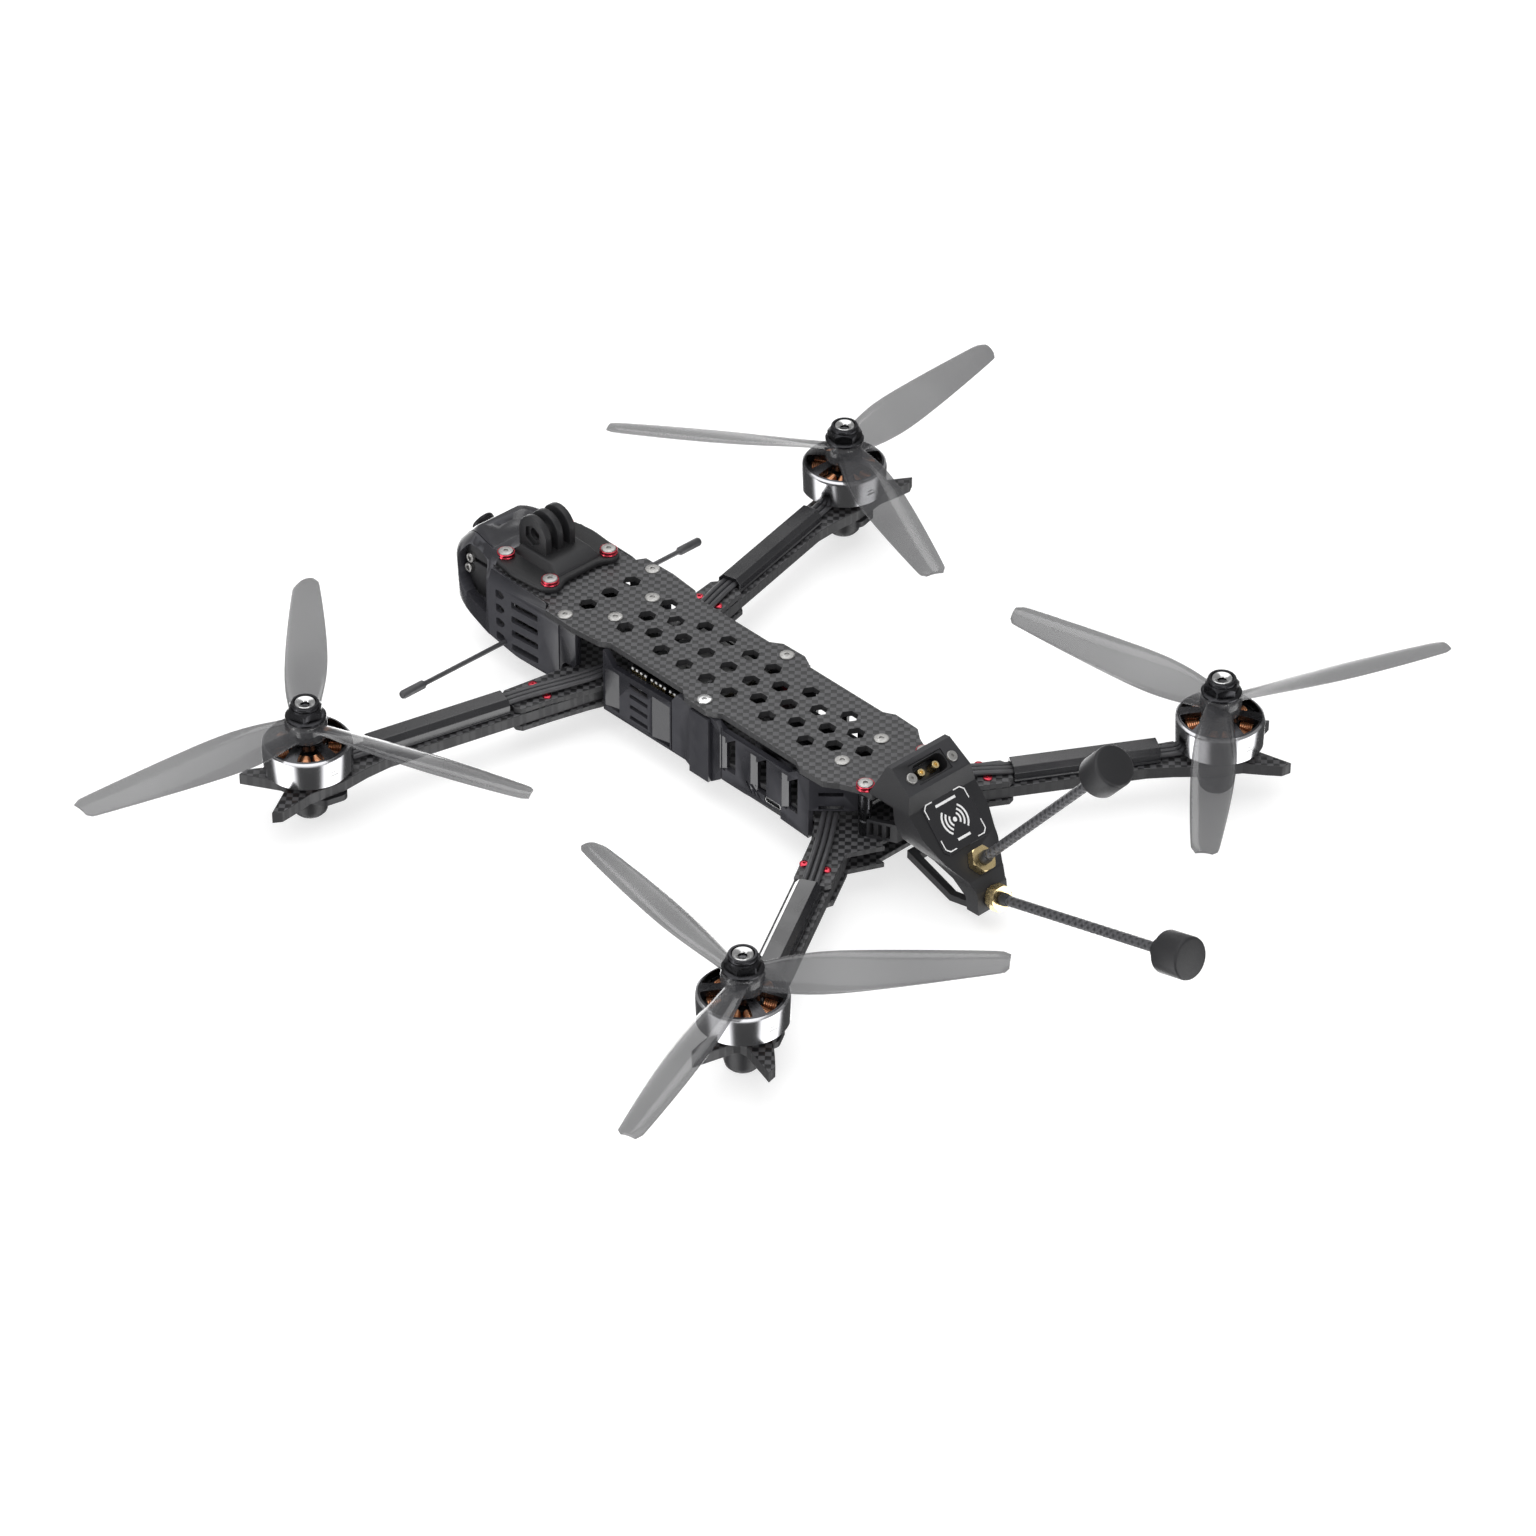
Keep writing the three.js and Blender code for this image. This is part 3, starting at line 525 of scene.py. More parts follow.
def rounded(outline, radius, steps=4):
    """The outline with each corner eased by a curve that starts `radius` before it."""
    result = []
    count = len(outline)
    for i, corner in enumerate(outline):
        here = Vector(corner)
        before = Vector(outline[i - 1]) - here
        after = Vector(outline[(i + 1) % count]) - here
        start = here + before.normalized() * min(radius, before.length * 0.45)
        end = here + after.normalized() * min(radius, after.length * 0.45)
        for k in range(steps + 1):
            t = k / steps
            result.append(tuple(start * (1 - t) ** 2 + here * 2 * t * (1 - t) + end * t * t))
    return result


def both_sides(half):
    """A closed outline, symmetric about u = 0, from its +u half."""
    return [*half, *[(-u, v) for u, v in reversed(half)]]


def oblong(u0, u1, v0, v1, radius=None):
    return rounded([(u0, v0), (u1, v0), (u1, v1), (u0, v1)], radius or min(u1 - u0, v1 - v0) / 2)


def scatter(name, template, matrices):
    """One mesh that holds a copy of the template at each matrix."""
    work = bmesh.new()
    for matrix in matrices:
        start = len(work.verts)
        work.from_mesh(template.data)
        work.verts.ensure_lookup_table()
        bmesh.ops.transform(work, matrix=matrix, verts=work.verts[start:])
    bpy.data.objects.remove(template)
    return add_bmesh(name, work)


def join(name, parts):
    """One mesh that holds all the parts."""
    work = bmesh.new()
    for part in parts:
        work.from_mesh(part.data)
        bpy.data.objects.remove(part)
    return add_bmesh(name, work)


def mirror(made, name):
    """A copy on the other side of the drone's centre plane."""
    mesh = made.data.copy()
    mesh.transform(Matrix.Scale(-1, 4, (1, 0, 0)))
    mesh.flip_normals()
    return add_object(name, mesh)


def bevel(made, width, angle=32, segments=2):
    step = made.modifiers.new("eased_edges", "BEVEL")
    step.width = width * MM
    step.segments = segments
    step.limit_method = "ANGLE"
    step.angle_limit = math.radians(angle)
    return step


def pre_ease(made, width, angle=30, segments=3):
    """Rounds the outer edges before finer cuts are made."""
    bevel(made, width, angle, segments)
    return bake(made)


def finish(made, name, material, body="airframe", ease=0.25, replaces=None, place=None, crease=40):
    """Names, paints, eases and mounts a piece on its body."""
    made.name = name
    made.data.name = name
    made.data.materials.clear()
    made.data.materials.append(material)
    if ease:
        bevel(made, ease).harden_normals = True
    made.data.shade_smooth()
    made.data.set_sharp_from_angle(angle=math.radians(crease))
    if place is not None:
        made.matrix_world = place
    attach(made, body)
    if replaces:
        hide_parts(replaces)
    return made


def pair(made, name, material, ease, replaces=None, crease=40):
    """Finishes a piece on the left side and its mirror on the right."""
    twin = mirror(made, name)
    for side, each in (("left", made), ("right", twin)):
        finish(each, f"{name}_{side}", material, ease=ease, replaces=replaces and f"{replaces}_{side}",
               crease=crease)


def repeat(template, spots, name, material, ease=0.1, place=None):
    """Finishes one piece that holds a copy of the template at each spot (x, y, z)."""
    copies = scatter(name, template, [at(*spot) for spot in spots])
    finish(copies, name, material, ease=ease, place=place)


MERGE_DISTANCE = 0.002 * MM
FLAT_ANGLE = math.radians(0.6)


def dress(node, material, ease):
    """Paints a CAD node that keeps its shape, merges its flats and eases its edges."""
    made = frame["nodes"][node]
    if not made.data.materials:
        made.data.materials.append(None)
    made.material_slots[0].link = "OBJECT"
    made.material_slots[0].material = material
    weld = made.modifiers.new("weld", "WELD")
    weld.merge_threshold = MERGE_DISTANCE
    flat = made.modifiers.new("merge_flats", "DECIMATE")
    flat.decimate_type = "DISSOLVE"
    flat.angle_limit = FLAT_ANGLE
    bevel(made, ease)


def cast(node):
    """A working copy of a CAD node, with its flat faces merged."""
    work = bmesh.new()
    work.from_mesh(frame["nodes"][node].data)
    bmesh.ops.remove_doubles(work, verts=work.verts, dist=MERGE_DISTANCE)
    bmesh.ops.dissolve_limit(work, angle_limit=FLAT_ANGLE, verts=work.verts, edges=work.edges)
    return add_bmesh(node, work)


# ---- fasteners ----
def hexagon(radius, turn=0):
    return arc(radius, turn, turn + 300, 5)


def button_head(radius, height):
    """A low flat-topped screw head standing on z = 0, with a hexagon socket."""
    head = lathe([(0, -0.6), (radius * 0.5, -0.6), (radius * 0.5, 0), (radius, 0), (radius, height * 0.5),
                  (radius * 0.93, height * 0.88), (radius * 0.84, height), (0, height)], 36)
    return carve(head, prism(hexagon(radius * 0.34), height * 0.2, height + 1))


def cup_washer(radius, height, bore):
    """A stepped washer whose raised lip holds the screw's head."""
    return lathe([(bore, 0), (radius, 0), (radius * 1.02, height * 0.2), (radius * 0.94, height * 0.42),
                  (radius * 0.98, height * 0.6), (radius * 0.98, height * 0.92), (radius * 0.94, height),
                  (radius * 0.88, height), (radius * 0.86, height * 0.85), (bore, height * 0.85)], 40)


# ---- one corner: arm, motor, propeller ----
# (radius, chord, pitch in degrees, thickness) along a blade.
BLADE_STATIONS = [
    (5, 10.5, 28, 3.0), (12, 13.4, 27, 2.4), (22, 16.6, 25, 2.1), (34, 17.8, 21, 1.9), (48, 17, 17, 1.7),
    (62, 15.4, 14.5, 1.5), (76, 13.3, 12.5, 1.3), (88, 11.2, 11, 1.1), (PROP_R, 9.6, 10, 0.9),
]


def station(radius):
    """Chord, pitch and thickness at a radius, read between the blade's stations."""
    for low, high in zip(BLADE_STATIONS, BLADE_STATIONS[1:]):
        if radius <= high[0]:
            t = (radius - low[0]) / (high[0] - low[0])
            return [a + (b - a) * t for a, b in zip(low[1:], high[1:])]
    return BLADE_STATIONS[-1][1:]


def blade(spin):
    """A cambered blade whose tip is cut on the rake and rounded at both corners."""
    radii = [BLADE_ROOT + (PROP_R - BLADE_ROOT) * (i / 36) for i in range(37)]
    chordwise = [-math.cos(math.pi * i / 12) / 2 for i in range(13)]
    loop = [(c, 1) for c in chordwise] + [(c, -1) for c in reversed(chordwise[1:-1])]
    verts = []
    for radius in radii:
        near = [station(max(BLADE_ROOT, min(PROP_R, radius + d))) for d in (-5, 0, 5)]
        chord, pitch, thick = (sum(values) / 3 for values in zip(*near))
        turn = math.radians(pitch)
        close = max(0.0, (radius - (PROP_R - TIP)) / TIP)
        for across, face in loop:
            w = across * chord * math.sqrt(max(0.0, 1 - 0.55 * close ** 3))
            thin = thick * math.sqrt(max(0.0, 1 - (2 * across) ** 2)) / 2 + 0.12
            h = 0.08 * chord * (1 - 4 * across * across) + face * thin
            reach = radius - close * (0.5 - across) * 1.6
            verts.append((reach, spin * (w * math.cos(turn) - h * math.sin(turn)),
                          w * math.sin(turn) + h * math.cos(turn)))
    return mesh_object("blade", verts, bands(len(radii), len(loop)) + caps(len(radii), len(loop)))


def propeller(spin):
    middle = (HUB_LOW + HUB_TOP) / 2
    hub = lathe([(0, HUB_LOW), (6.6, HUB_LOW), (7.6, HUB_LOW + 0.5), (8.1, middle), (7.9, HUB_TOP - 1.6),
                 (7.3, HUB_TOP - 0.3), (6.9, HUB_TOP), (0, HUB_TOP)], 60)
    blades = [move(blade(spin), at(0, 0, middle) @ turned(120 * k, "Z")) for k in range(3)]
    return carve(carve(hub, *blades, how="UNION"), drum(2.7, HUB_LOW - 1, HUB_TOP + 1, 32))


def sector(inner, outer, middle, spread, taper):
    """An annular sector whose inner arc spans `taper` times its outer one."""
    narrow = spread * taper
    return rounded(arc(outer, middle - spread, middle + spread, 8)
                   + arc(inner, middle + narrow, middle - narrow, 8), 0.7, 2)


def bell():
    """A turned shell with its shaft, and six windows that leave spokes in its top."""
    inside = [(0, BELL_LOW - 1.5), (2.4, BELL_LOW - 1.5), (2.4, 20.6), (7, 20.9), (12, 20.2), (14.8, 19.0),
              (15.4, 18.4), (15.4, BELL_LOW)]
    outside = [(BELL_R, BELL_LOW), (BELL_R, 20.3), (16.7, 21.1), (15.9, 21.7), (12, 22.6), (7.6, BELL_TOP)]
    shaft = [(6.9, BELL_TOP), (5.5, 22.6), (2.4, 22.6), (2.4, 36.9), (0, 36.9)]
    shell = lathe(inside + outside + shaft, 96)
    windows = [prism(sector(7.2, 15.1, 60 * i + 10, 20.5, 0.8), 17.6, 25) for i in range(6)]
    return carve(shell, *windows)


def magnets():
    tile = prism(sector(14.6, 15.35, 0, 11.4, 1.0), BELL_LOW + 0.8, BELL_LOW + 8.4)
    return scatter("magnets", tile, [turned(360 * i / POLES, "Z") for i in range(POLES)])


def stator_core():
    """T-shaped teeth round a hub, on a foot plate with four ears."""
    hub = drum(7.2, 9.6, 18.6, bore=2.9)
    tooth = prism([(6.8, -1), (12.9, -1), (13.3, -3.1), (14.3, -3.1), (14.5, 0), (14.3, 3.1), (13.3, 3.1),
                   (12.9, 1), (6.8, 1)], 12.2, 18.2)
    teeth = scatter("teeth", tooth, [turned(360 * i / TEETH, "Z") for i in range(TEETH)])
    foot = drum(9, ARM_TOP + CLEARANCE, 9.9, bore=2.9)
    ears = [move(prism(oblong(-13.2, 13.2, -3, 3, 2.9), ARM_TOP + CLEARANCE, 9.4), turned(turn, "Z"))
            for turn in (45, -45)]
    return carve(hub, teeth, foot, *ears, how="UNION")


def windings():
    """Six loops of wire round each tooth, stacked outward and growing wider."""
    wire_r = 0.43
    loop = []
    for c, s in arc(1, 0, 342, 19):
        loop.append((1.95 * math.copysign(abs(c) ** 0.5, c), 15.2 + 4.2 * math.copysign(abs(s) ** 0.5, s)))
    section = arc(wire_r, 0, 315, 7)
    verts, faces = [], []
    for turn in range(6):
        faces += bands(len(loop), len(section), len(verts), wrap=True)
        wide = 0.72 + 0.1 * turn
        for i, (y, z) in enumerate(loop):
            before, after = loop[i - 1], loop[(i + 1) % len(loop)]
            along = Vector((0, (after[0] - before[0]) * wide, after[1] - before[1])).normalized()
            side = Vector((1, 0, 0))
            up = along.cross(side)
            verts += [Vector((8.2 + 0.84 * turn, y * wide, z)) + side * u + up * v for u, v in section]
    coil = mesh_object("coil", verts, faces)
    return scatter("windings", coil, [turned(360 * i / TEETH, "Z") for i in range(TEETH)])


def prop_nut():
    """A hexagon nut with a chamfered top, a flange below it and a hollow rim above."""
    body = prism(hexagon(6.9), 0.8, 5.2)
    cone = lathe([(0, 0), (6.9, 0), (6.9, 3.9), (5.7, 5.2), (0, 5.2)], 64)
    body = carve(body, cone, how="INTERSECT")
    flange = lathe([(0, 0), (7.4, 0), (7.7, 0.3), (7.7, 0.9), (6.6, 1.5), (0, 1.5)], 64)
    rim = lathe([(0, 4), (5.4, 4), (5.4, 6.5), (5.1, 6.9), (0, 6.9)], 48)
    body = carve(body, flange, rim, how="UNION")
    bore = lathe([(0, -1), (2.7, -1), (2.7, 5.4), (4.3, 5.4), (4.3, 8), (0, 8)], 48)
    return move(carve(body, bore), at(0, 0, HUB_TOP + CLEARANCE))


def shaft_ring():
    ring = lathe([(1.6, 0), (4.15, 0), (4.15, 0.9), (3.7, 1.25), (1.9, 0.6), (1.6, 0.2)], 48)
    return move(ring, at(0, 0, HUB_TOP + 5.8))


def wire_cover(corner):
    """A roof-shaped channel over the motor leads, with a lip along each foot."""
    start, end = corner["cover"]
    outside = both_sides([(3.8, 0), (5.3, 0), (5.3, 0.7), (4.95, 1.0), (4.95, 3.7), (3.15, 5.9)])
    inside = [(-3.8, 3.2), (-2.6, 4.3), (2.6, 4.3), (3.8, 3.2)]
    cover = prism(outside + inside, start, end, "X")
    return move(cover, at(0, corner["rear"] * corner["shift"], ARM_TOP + CLEARANCE))


def motor_foot(corner):
    """A round landing pad under a sole that follows the arm's fork."""
    under = ARM_LOW - CLEARANCE
    ground = FLOOR_Z / MM
    dome = lathe([(0, ground), (3.6, ground), (5.4, ground + 0.5), (6.5, ground + 1.8), (6.9, ground + 3.6),
                  (6.9, under), (0, under)], 48)
    fork = corner["rear"] * corner["fork"]
    sole = rounded([(-10, -9), (-8, -10.8), (0, -10.8), (4, -7), (6, 0), (4, 7), (0, 10.8), (-8, 10.8),
                    (-10, 9)], 1.2)
    return carve(dome, move(prism(sole, under - 2.6, under), at(0, fork)), how="UNION")


def lead_route(corner, lane):
    """A motor lead's way along the arm and in under the cover: (along, across, height)."""
    floor = ARM_TOP + CLEARANCE
    rear = corner["rear"]
    c = rear * corner["shift"] + lane * 2.3
    front = abs(corner["out"] % 180 - 90) > 70
    inward = ([(-94, 0.8, 3.8), (-106, 2.2, 4.2), (-119, 3, 4.4), (-128, 2.2, 4.4)] if front
              else [(-92, -0.6, 3.9), (-104, -1.6, 4), (-113, -2.8, 4.2), (-121, -4, 4.6)])
    straight = [(-15, 1.2), (-25, 1.2), (-40, 1.3), (-55, 1.3), (-66, 1.3), (-75, 2.4), (-83, 3.3)]
    return [(-11.5, c * 0.8, floor + 1.5), *[(along, c, floor + lift) for along, lift in straight],
            *[(along, c + rear * sway, floor + lift) for along, sway, lift in inward]]


def arc_band(radius, width, middle, spread, steps=14):
    return (arc(radius, middle - spread, middle + spread, steps)
            + arc(radius + width, middle + spread, middle - spread, steps))


def bell_marks():
    """Plain white printed bars on the bell's wall: (start angle, span, low, high)."""
    bars = [(0, 11, 12.6, 14.2), (0, 4, 15.0, 17.6), (6, 5, 15.0, 17.6), (13, 9, 15.0, 16.1),
            (13, 9, 16.7, 17.6), (24, 3, 12.6, 17.6), (150, 12, 14.4, 15.2), (150, 8, 16.0, 16.6)]
    return join("marks", [prism(arc_band(BELL_R + 0.01, 0.05, start + span / 2, span / 2, 6), low, high)
                          for start, span, low, high in bars])


def paint_bell(made):
    """The top spokes are dark, the wall is polished."""
    made.data.materials.append(DARK_BELL)
    for face in made.data.polygons:
        centre = face.center / MM
        if centre.z > 17.4 and math.hypot(centre.x, centre.y) < 15.6:
            face.material_index = 1


def build_corner(key, corner):
    spot = JOINTS[f"rotor_spin_{key}"]["pos_m"]
    centre = Matrix.Translation((spot[0], spot[1], 0))
    out = centre @ turned(corner["out"], "Z")
    rotor = f"rotor_{key}"

    def put(made, name, material, slot, body="airframe", ease=0, node=None, place=out):
        return finish(made, f"{name}_{key}", material, body, ease, node and f"{node}_{key}", place)

    dress(f"arm_{key}", CARBON, 0.3)
    put(wire_cover(corner), "cover", GLOSS, "cover_gloss", ease=0.3, node="wire_cover")
    put(motor_foot(corner), "foot", SOFT, "tpu", ease=0.5, node="motor_foot")
    put(stator_core(), "stator_core", LAMINATION, "windings", ease=0.15, node="motor_stator")
    put(windings(), "windings", COPPER, "windings")
    put(magnets(), "magnets", LAMINATION, "bell_metal", rotor, 0.1)
    paint_bell(put(bell(), "bell", BELL, "bell_metal", rotor, 0.18, "motor_bell"))
    put(bell_marks(), "bell_marks", WHITE, "bell_metal", rotor, place=centre @ turned(-70, "Z"))
    blades = move(propeller(corner["spin"]), centre @ turned(corner["blades"], "Z"))
    put(blades, "prop", SMOKE, "propeller_smoke", rotor, node="propeller", place=None)
    put(prop_nut(), "nut", NUT, "nut_metal", rotor, 0.15, "prop_nut")
    put(shaft_ring(), "nut_ring", BRIGHT, "nut_metal", rotor)
    for lane in (-1, 0, 1):
        wire = tube(lead_route(corner, lane), 1.05)
        finish(wire, f"lead_{key}_{lane + 2}", SILICONE, ease=0,
               replaces=None if lane else f"motor_leads_{key}", place=out)


for corner_key, corner_sizes in CORNERS.items():
    build_corner(corner_key, corner_sizes)


# ---- plates ----
for plate in ("bottom_plate", "clamp_plate", "top_plate"):
    dress(plate, CARBON, 0.22)


# ---- side panels ----
def side_panel():
    """The CAD panel, thinned behind its louvres, with ramps, slanted grooves and two seams in its face."""
    panel = carve(cast("side_panel_left"), block(10, 23.2, -60, -46.2, 3.5, 22))
    face = SIDE_X
    out = face + 0.1
    ramps = [prism([(out, front), (out, back), (face - deep, back)], low, 20.2)
             for front, back, deep, low in ((-71.3, -62.8, 1.3, 2.6), (-45, -34.6, 1.4, 1.6))]
    for edge, low, high in ((-4.2, 7.2, 22.7), (12.5, 6.4, 22.8), (29.3, 7.6, 23.2)):
        ramps.append(prism([(out, edge - 2.9), (out, edge + 0.3), (face - 1.2, edge + 0.3)], low, high))
    grooves = [prism([(y, 4.9), (y + 1.3, 4.9), (y - 1.2, 8.9), (y - 2.5, 8.9)], face - 0.9, face + 1, "X")
               for y in (9.6, 11.8, 14.0)]
    seams = [block(face - 0.5, out, y - 0.25, y + 0.25, 1, 26) for y in (-33.6, -6.2)]
    return carve(panel, *ramps, *grooves, *seams)


pair(side_panel(), "panel", MOULDED, 0.32, "side_panel", crease=5)


def usb_port():
    """The rim of a USB socket, flush with the panel's face."""
    ring = prism(oblong(17.6, 26.0, 4.95, 7.55, 1.2), SIDE_X - 2.4, SIDE_X - 0.05, "X")
    return carve(ring, prism(oblong(18.1, 25.5, 5.45, 7.05, 0.75), SIDE_X - 2.2, SIDE_X + 1, "X"))


pair(usb_port(), "usb_shell", BRIGHT, 0.12)
pair(prism(oblong(18.9, 24.7, 5.95, 6.55, 0.1), SIDE_X - 2.25, SIDE_X - 0.5, "X"), "usb_tongue", HEAT_SINK,
     0.05)


# ---- nose ----
# Half plans (x, y) of the nose and of the room inside it, at the bottom and at the top.
NOSE_LOW = [(24.6, -134), (24.4, -142), (23.2, -152), (20.4, -161.4), (16.3, -166.4), (12.4, -168.6)]
NOSE_TOP = [(19.6, -134), (17.2, -142), (15, -150), (13.4, -156), (11.2, -159), (8.6, -160.2)]
ROOM_LOW = [(21.4, -134), (20.6, -142), (19.2, -150), (15.6, -160), (11.8, -166), (11.4, -172)]
ROOM_TOP = [(17, -134), (15.2, -142), (13.2, -150), (11.4, -156), (11.2, -160), (11, -172)]


def loft(low, top, levels):
    """A closed body between two half plans; each level is (height, share of the way to the top plan)."""
    rings = []
    for height, share in levels:
        half = [(a[0] + (b[0] - a[0]) * share, a[1] + (b[1] - a[1]) * share) for a, b in zip(low, top)]
        rings.append([(x, y, height) for x, y in rounded(both_sides(half), 4, 4)])
    count = len(rings[0])
    points = [point for ring in rings for point in ring]
    return mesh_object("loft", points, bands(len(rings), count) + caps(len(rings), count))


def nose_shell():
    """The whole rounded nose, open in front and below, before it is parted into hood and cheeks."""
    shell = loft(NOSE_LOW, NOSE_TOP, [(-4, 0), (23, 0), (25, 0.06), (27, 0.2), (29, 0.4), (31, 0.62),
                                      (32.8, 0.82), (33.9, 0.96), (34.4, 1.1)])
    side = [(-136, -0.2), (-145, 2.4), (-156, 4.8), (-164, 8.4), (-168, 13), (-168.4, 19), (-166.2, 25),
            (-163.6, 30.4), (-160, 34.2), (-154, 36), (-136, 36)]
    shell = carve(shell, prism(rounded(side, 2.4, 4), -30, 30, "X"), how="INTERSECT")
    return carve(shell, loft(ROOM_LOW, ROOM_TOP, [(-5, 0), (22.5, 0), (31.2, 1)]))


def hood_region(gap):
    plan = both_sides([(12.6 - gap, -175), (12.9 - gap, -160), (15.4 - gap, -150), (16.6 - gap, -143.6)])
    return prism(plan, 30.4, 37)


def vent_rows():
    """Four long vents and four D-shaped notches, one above the other."""
    long_vent = rounded([(-124.6, -3.1), (-109.2, -1.8), (-109.2, 1.1), (-124.6, 0)], 0.8, 4)
    notch = rounded([(-133.6, -2.2), (-130.6, -2.2), (-128.6, -0.6), (-128.8, 0.7), (-130.6, 1.6),
                     (-133.6, 1.4)], 0.9, 4)
    return [move(prism(shape, 0, 40, "X"), at(0, 0, 22.6 - 6.5 * row))
            for row in range(4) for shape in (long_vent, notch)]


def nose_cheek():
    """The curved side of the nose: a flat wall with vents, and a rounded front with a window."""
    plan = [(24.7, -87.5), (SIDE_X, -96.4), (SIDE_X, -138), (20.9, -138), (21.4, -88)]
    side = [(-87.5, 10.4), (-94.6, 10.4), (-98.4, 0), (-104.5, -1.2), (-122, -1.9), (-139, 0.8),
            (-139, ROOF + 0.5), (-106, ROOF), (-105.6, 27.4), (-87.5, 27.4)]
    shoulder = [(22.6, 31), (22.8, 30), (SIDE_X + 0.1, 25), (30, 25), (30, 40), (22.6, 40)]
    under_plate = [(0, -143.4), (17.2, -143.4), (21.3, -138.2), (22.3, -128), (22.3, -80), (0, -80)]
    wall = carve(prism(plan, -3, 36), prism(rounded(side, 2.5, 4), 0, 40, "X"), how="INTERSECT")
    groove = prism([(SIDE_X + 0.3, -97.6), (SIDE_X + 0.3, -96.2), (SIDE_X - 0.4, -96.9)], -5, 40)
    wall = carve(wall, prism(shoulder, -170, -80, "Y"), prism(under_plate, 27.4, 40), groove)
    wall = carve(pre_ease(wall, 0.7), block(10, 22.9, -136, -107, 3.4, 26))
    front = carve(nose_shell(), block(-40, 0, -180, -80, -10, 50), block(-40, 40, -137.8, -80, -10, 50),
                  hood_region(0))
    front = carve(front, prism(under_plate, 27.4, 31))
    window = [(-139.4, 9.4), (-139.4, 25.5), (-142.6, 30.6), (-150, 31.2), (-157.4, 30), (-160.6, 25),
              (-160.6, 19), (-158.4, 14.5), (-154, 11.2)]
    front = pre_ease(carve(front, prism(rounded(window, 2, 5), 0, 40, "X")), 0.7, 40, 3)
    ledge = prism([(16.9, 5.2), (20, 5.2), (20, 6.4), (17.4, 8.8), (16.9, 8.8)], -159.6, -139, "Y")
    front = carve(front, ledge, how="UNION")
    return carve(carve(wall, front, how="UNION"), *vent_rows())


def camera_bracket_and_vent_shade():
    """The dark plate behind the pocket and the vents, with the slot that the upper camera screw slides in;
    behind the vents it is painted shade, a dark sheet put where the nose's inside is in shade.
    """
    plate = prism([(15, -107.5), (16.6, -107.5), (16.6, -157), (14.8, -163), (13.4, -163), (15, -157)], 3, 31)
    side = [(-107, 3.4), (-107, 26), (-139, 26), (-142, 30), (-156, 30), (-161, 26), (-163, 15), (-160, 9.6),
            (-150, 6.2), (-138, 3.8)]
    plate = carve(plate, prism(rounded(side, 1.5), 10, 20, "X"), how="INTERSECT")
    return carve(plate, prism(oblong(-157.6, -146.5, 22.6, 24.4, 0.9), 10, 30, "X"))


# Behind the vents this plate is painted shade: a dark sheet that keeps the inside of the nose dark.
pair(camera_bracket_and_vent_shade(), "camera_bracket_and_vent_shade", SOFT, 0.2)
pair(nose_cheek(), "cheek", MOULDED, 0.3, "nose_cheek", crease=24)


def nose_hood():
    hood = carve(nose_shell(), hood_region(0.25), how="INTERSECT")
    levels = [(33.3, 0), (34.45, 1), (36, 1)]
    panel = loft([(6.7, -145), (6.7, -154.6)], [(12.2, -143.5), (8.8, -156.4)], levels)
    return carve(pre_ease(hood, 0.5), panel)


finish(nose_hood(), "hood", MOULDED, ease=0.2, replaces="nose_hood", crease=24)


def side_screws():
    """Two cap screws in each cheek's pocket: the camera pivots on one and slides on the other."""
    head = lathe([(0, -2), (1.2, -2), (1.2, 0), (2.05, 0), (2.05, 1.5), (1.75, 1.9), (0, 1.9)], 28)
    head = carve(head, prism(hexagon(1.05), 0.7, 3))
    spots = ((-156.2, 23.9), (-157.4, 18.8))
    return scatter("camera_screws", head, [at(16.3, y, z) @ turned(90, "Y") for y, z in spots])


pair(side_screws(), "camera_screws", STEEL, 0.1)

TILT = Matrix.Translation(JOINTS["camera_tilt"]["pos_m"]) @ turned(-28, "X")
finish(block(-9.5, 9.5, -6.5, 6.5, -7.2, 7.2), "camera_case", HEAT_SINK, "nose_camera", 0.8,
       "fpv_camera_body", TILT)


def lens_barrel():
    ridges = [(6.4 - 0.25 * (i % 2), 0.3 + 0.36 * i) for i in range(9)]
    grip = [(5.4 - 0.2 * (i % 2), 4.2 + 0.4 * i) for i in range(9)]
    mouth = [(5.4, 8.2), (5.0, 8.7), (4.2, 8.7), (3.8, 7.6), (0, 7.6)]
    return lathe([(0, 0), (6.4, 0), *ridges, (5.6, 3.7), *grip, *mouth], 56)


FACING = TILT @ at(0, -6.8, 0) @ turned(90, "X") @ Matrix.Scale(0.88, 4)
finish(lens_barrel(), "lens_barrel", HEAT_SINK, "nose_camera", 0, "fpv_camera_lens", FACING)
finish(lathe([(0, 6.6), (3.7, 6.6), (3.7, 7.7), (2.6, 8.2), (1.3, 8.42), (0, 8.5)], 48), "lens_glass", GLASS,
       "nose_camera", 0, None, FACING)


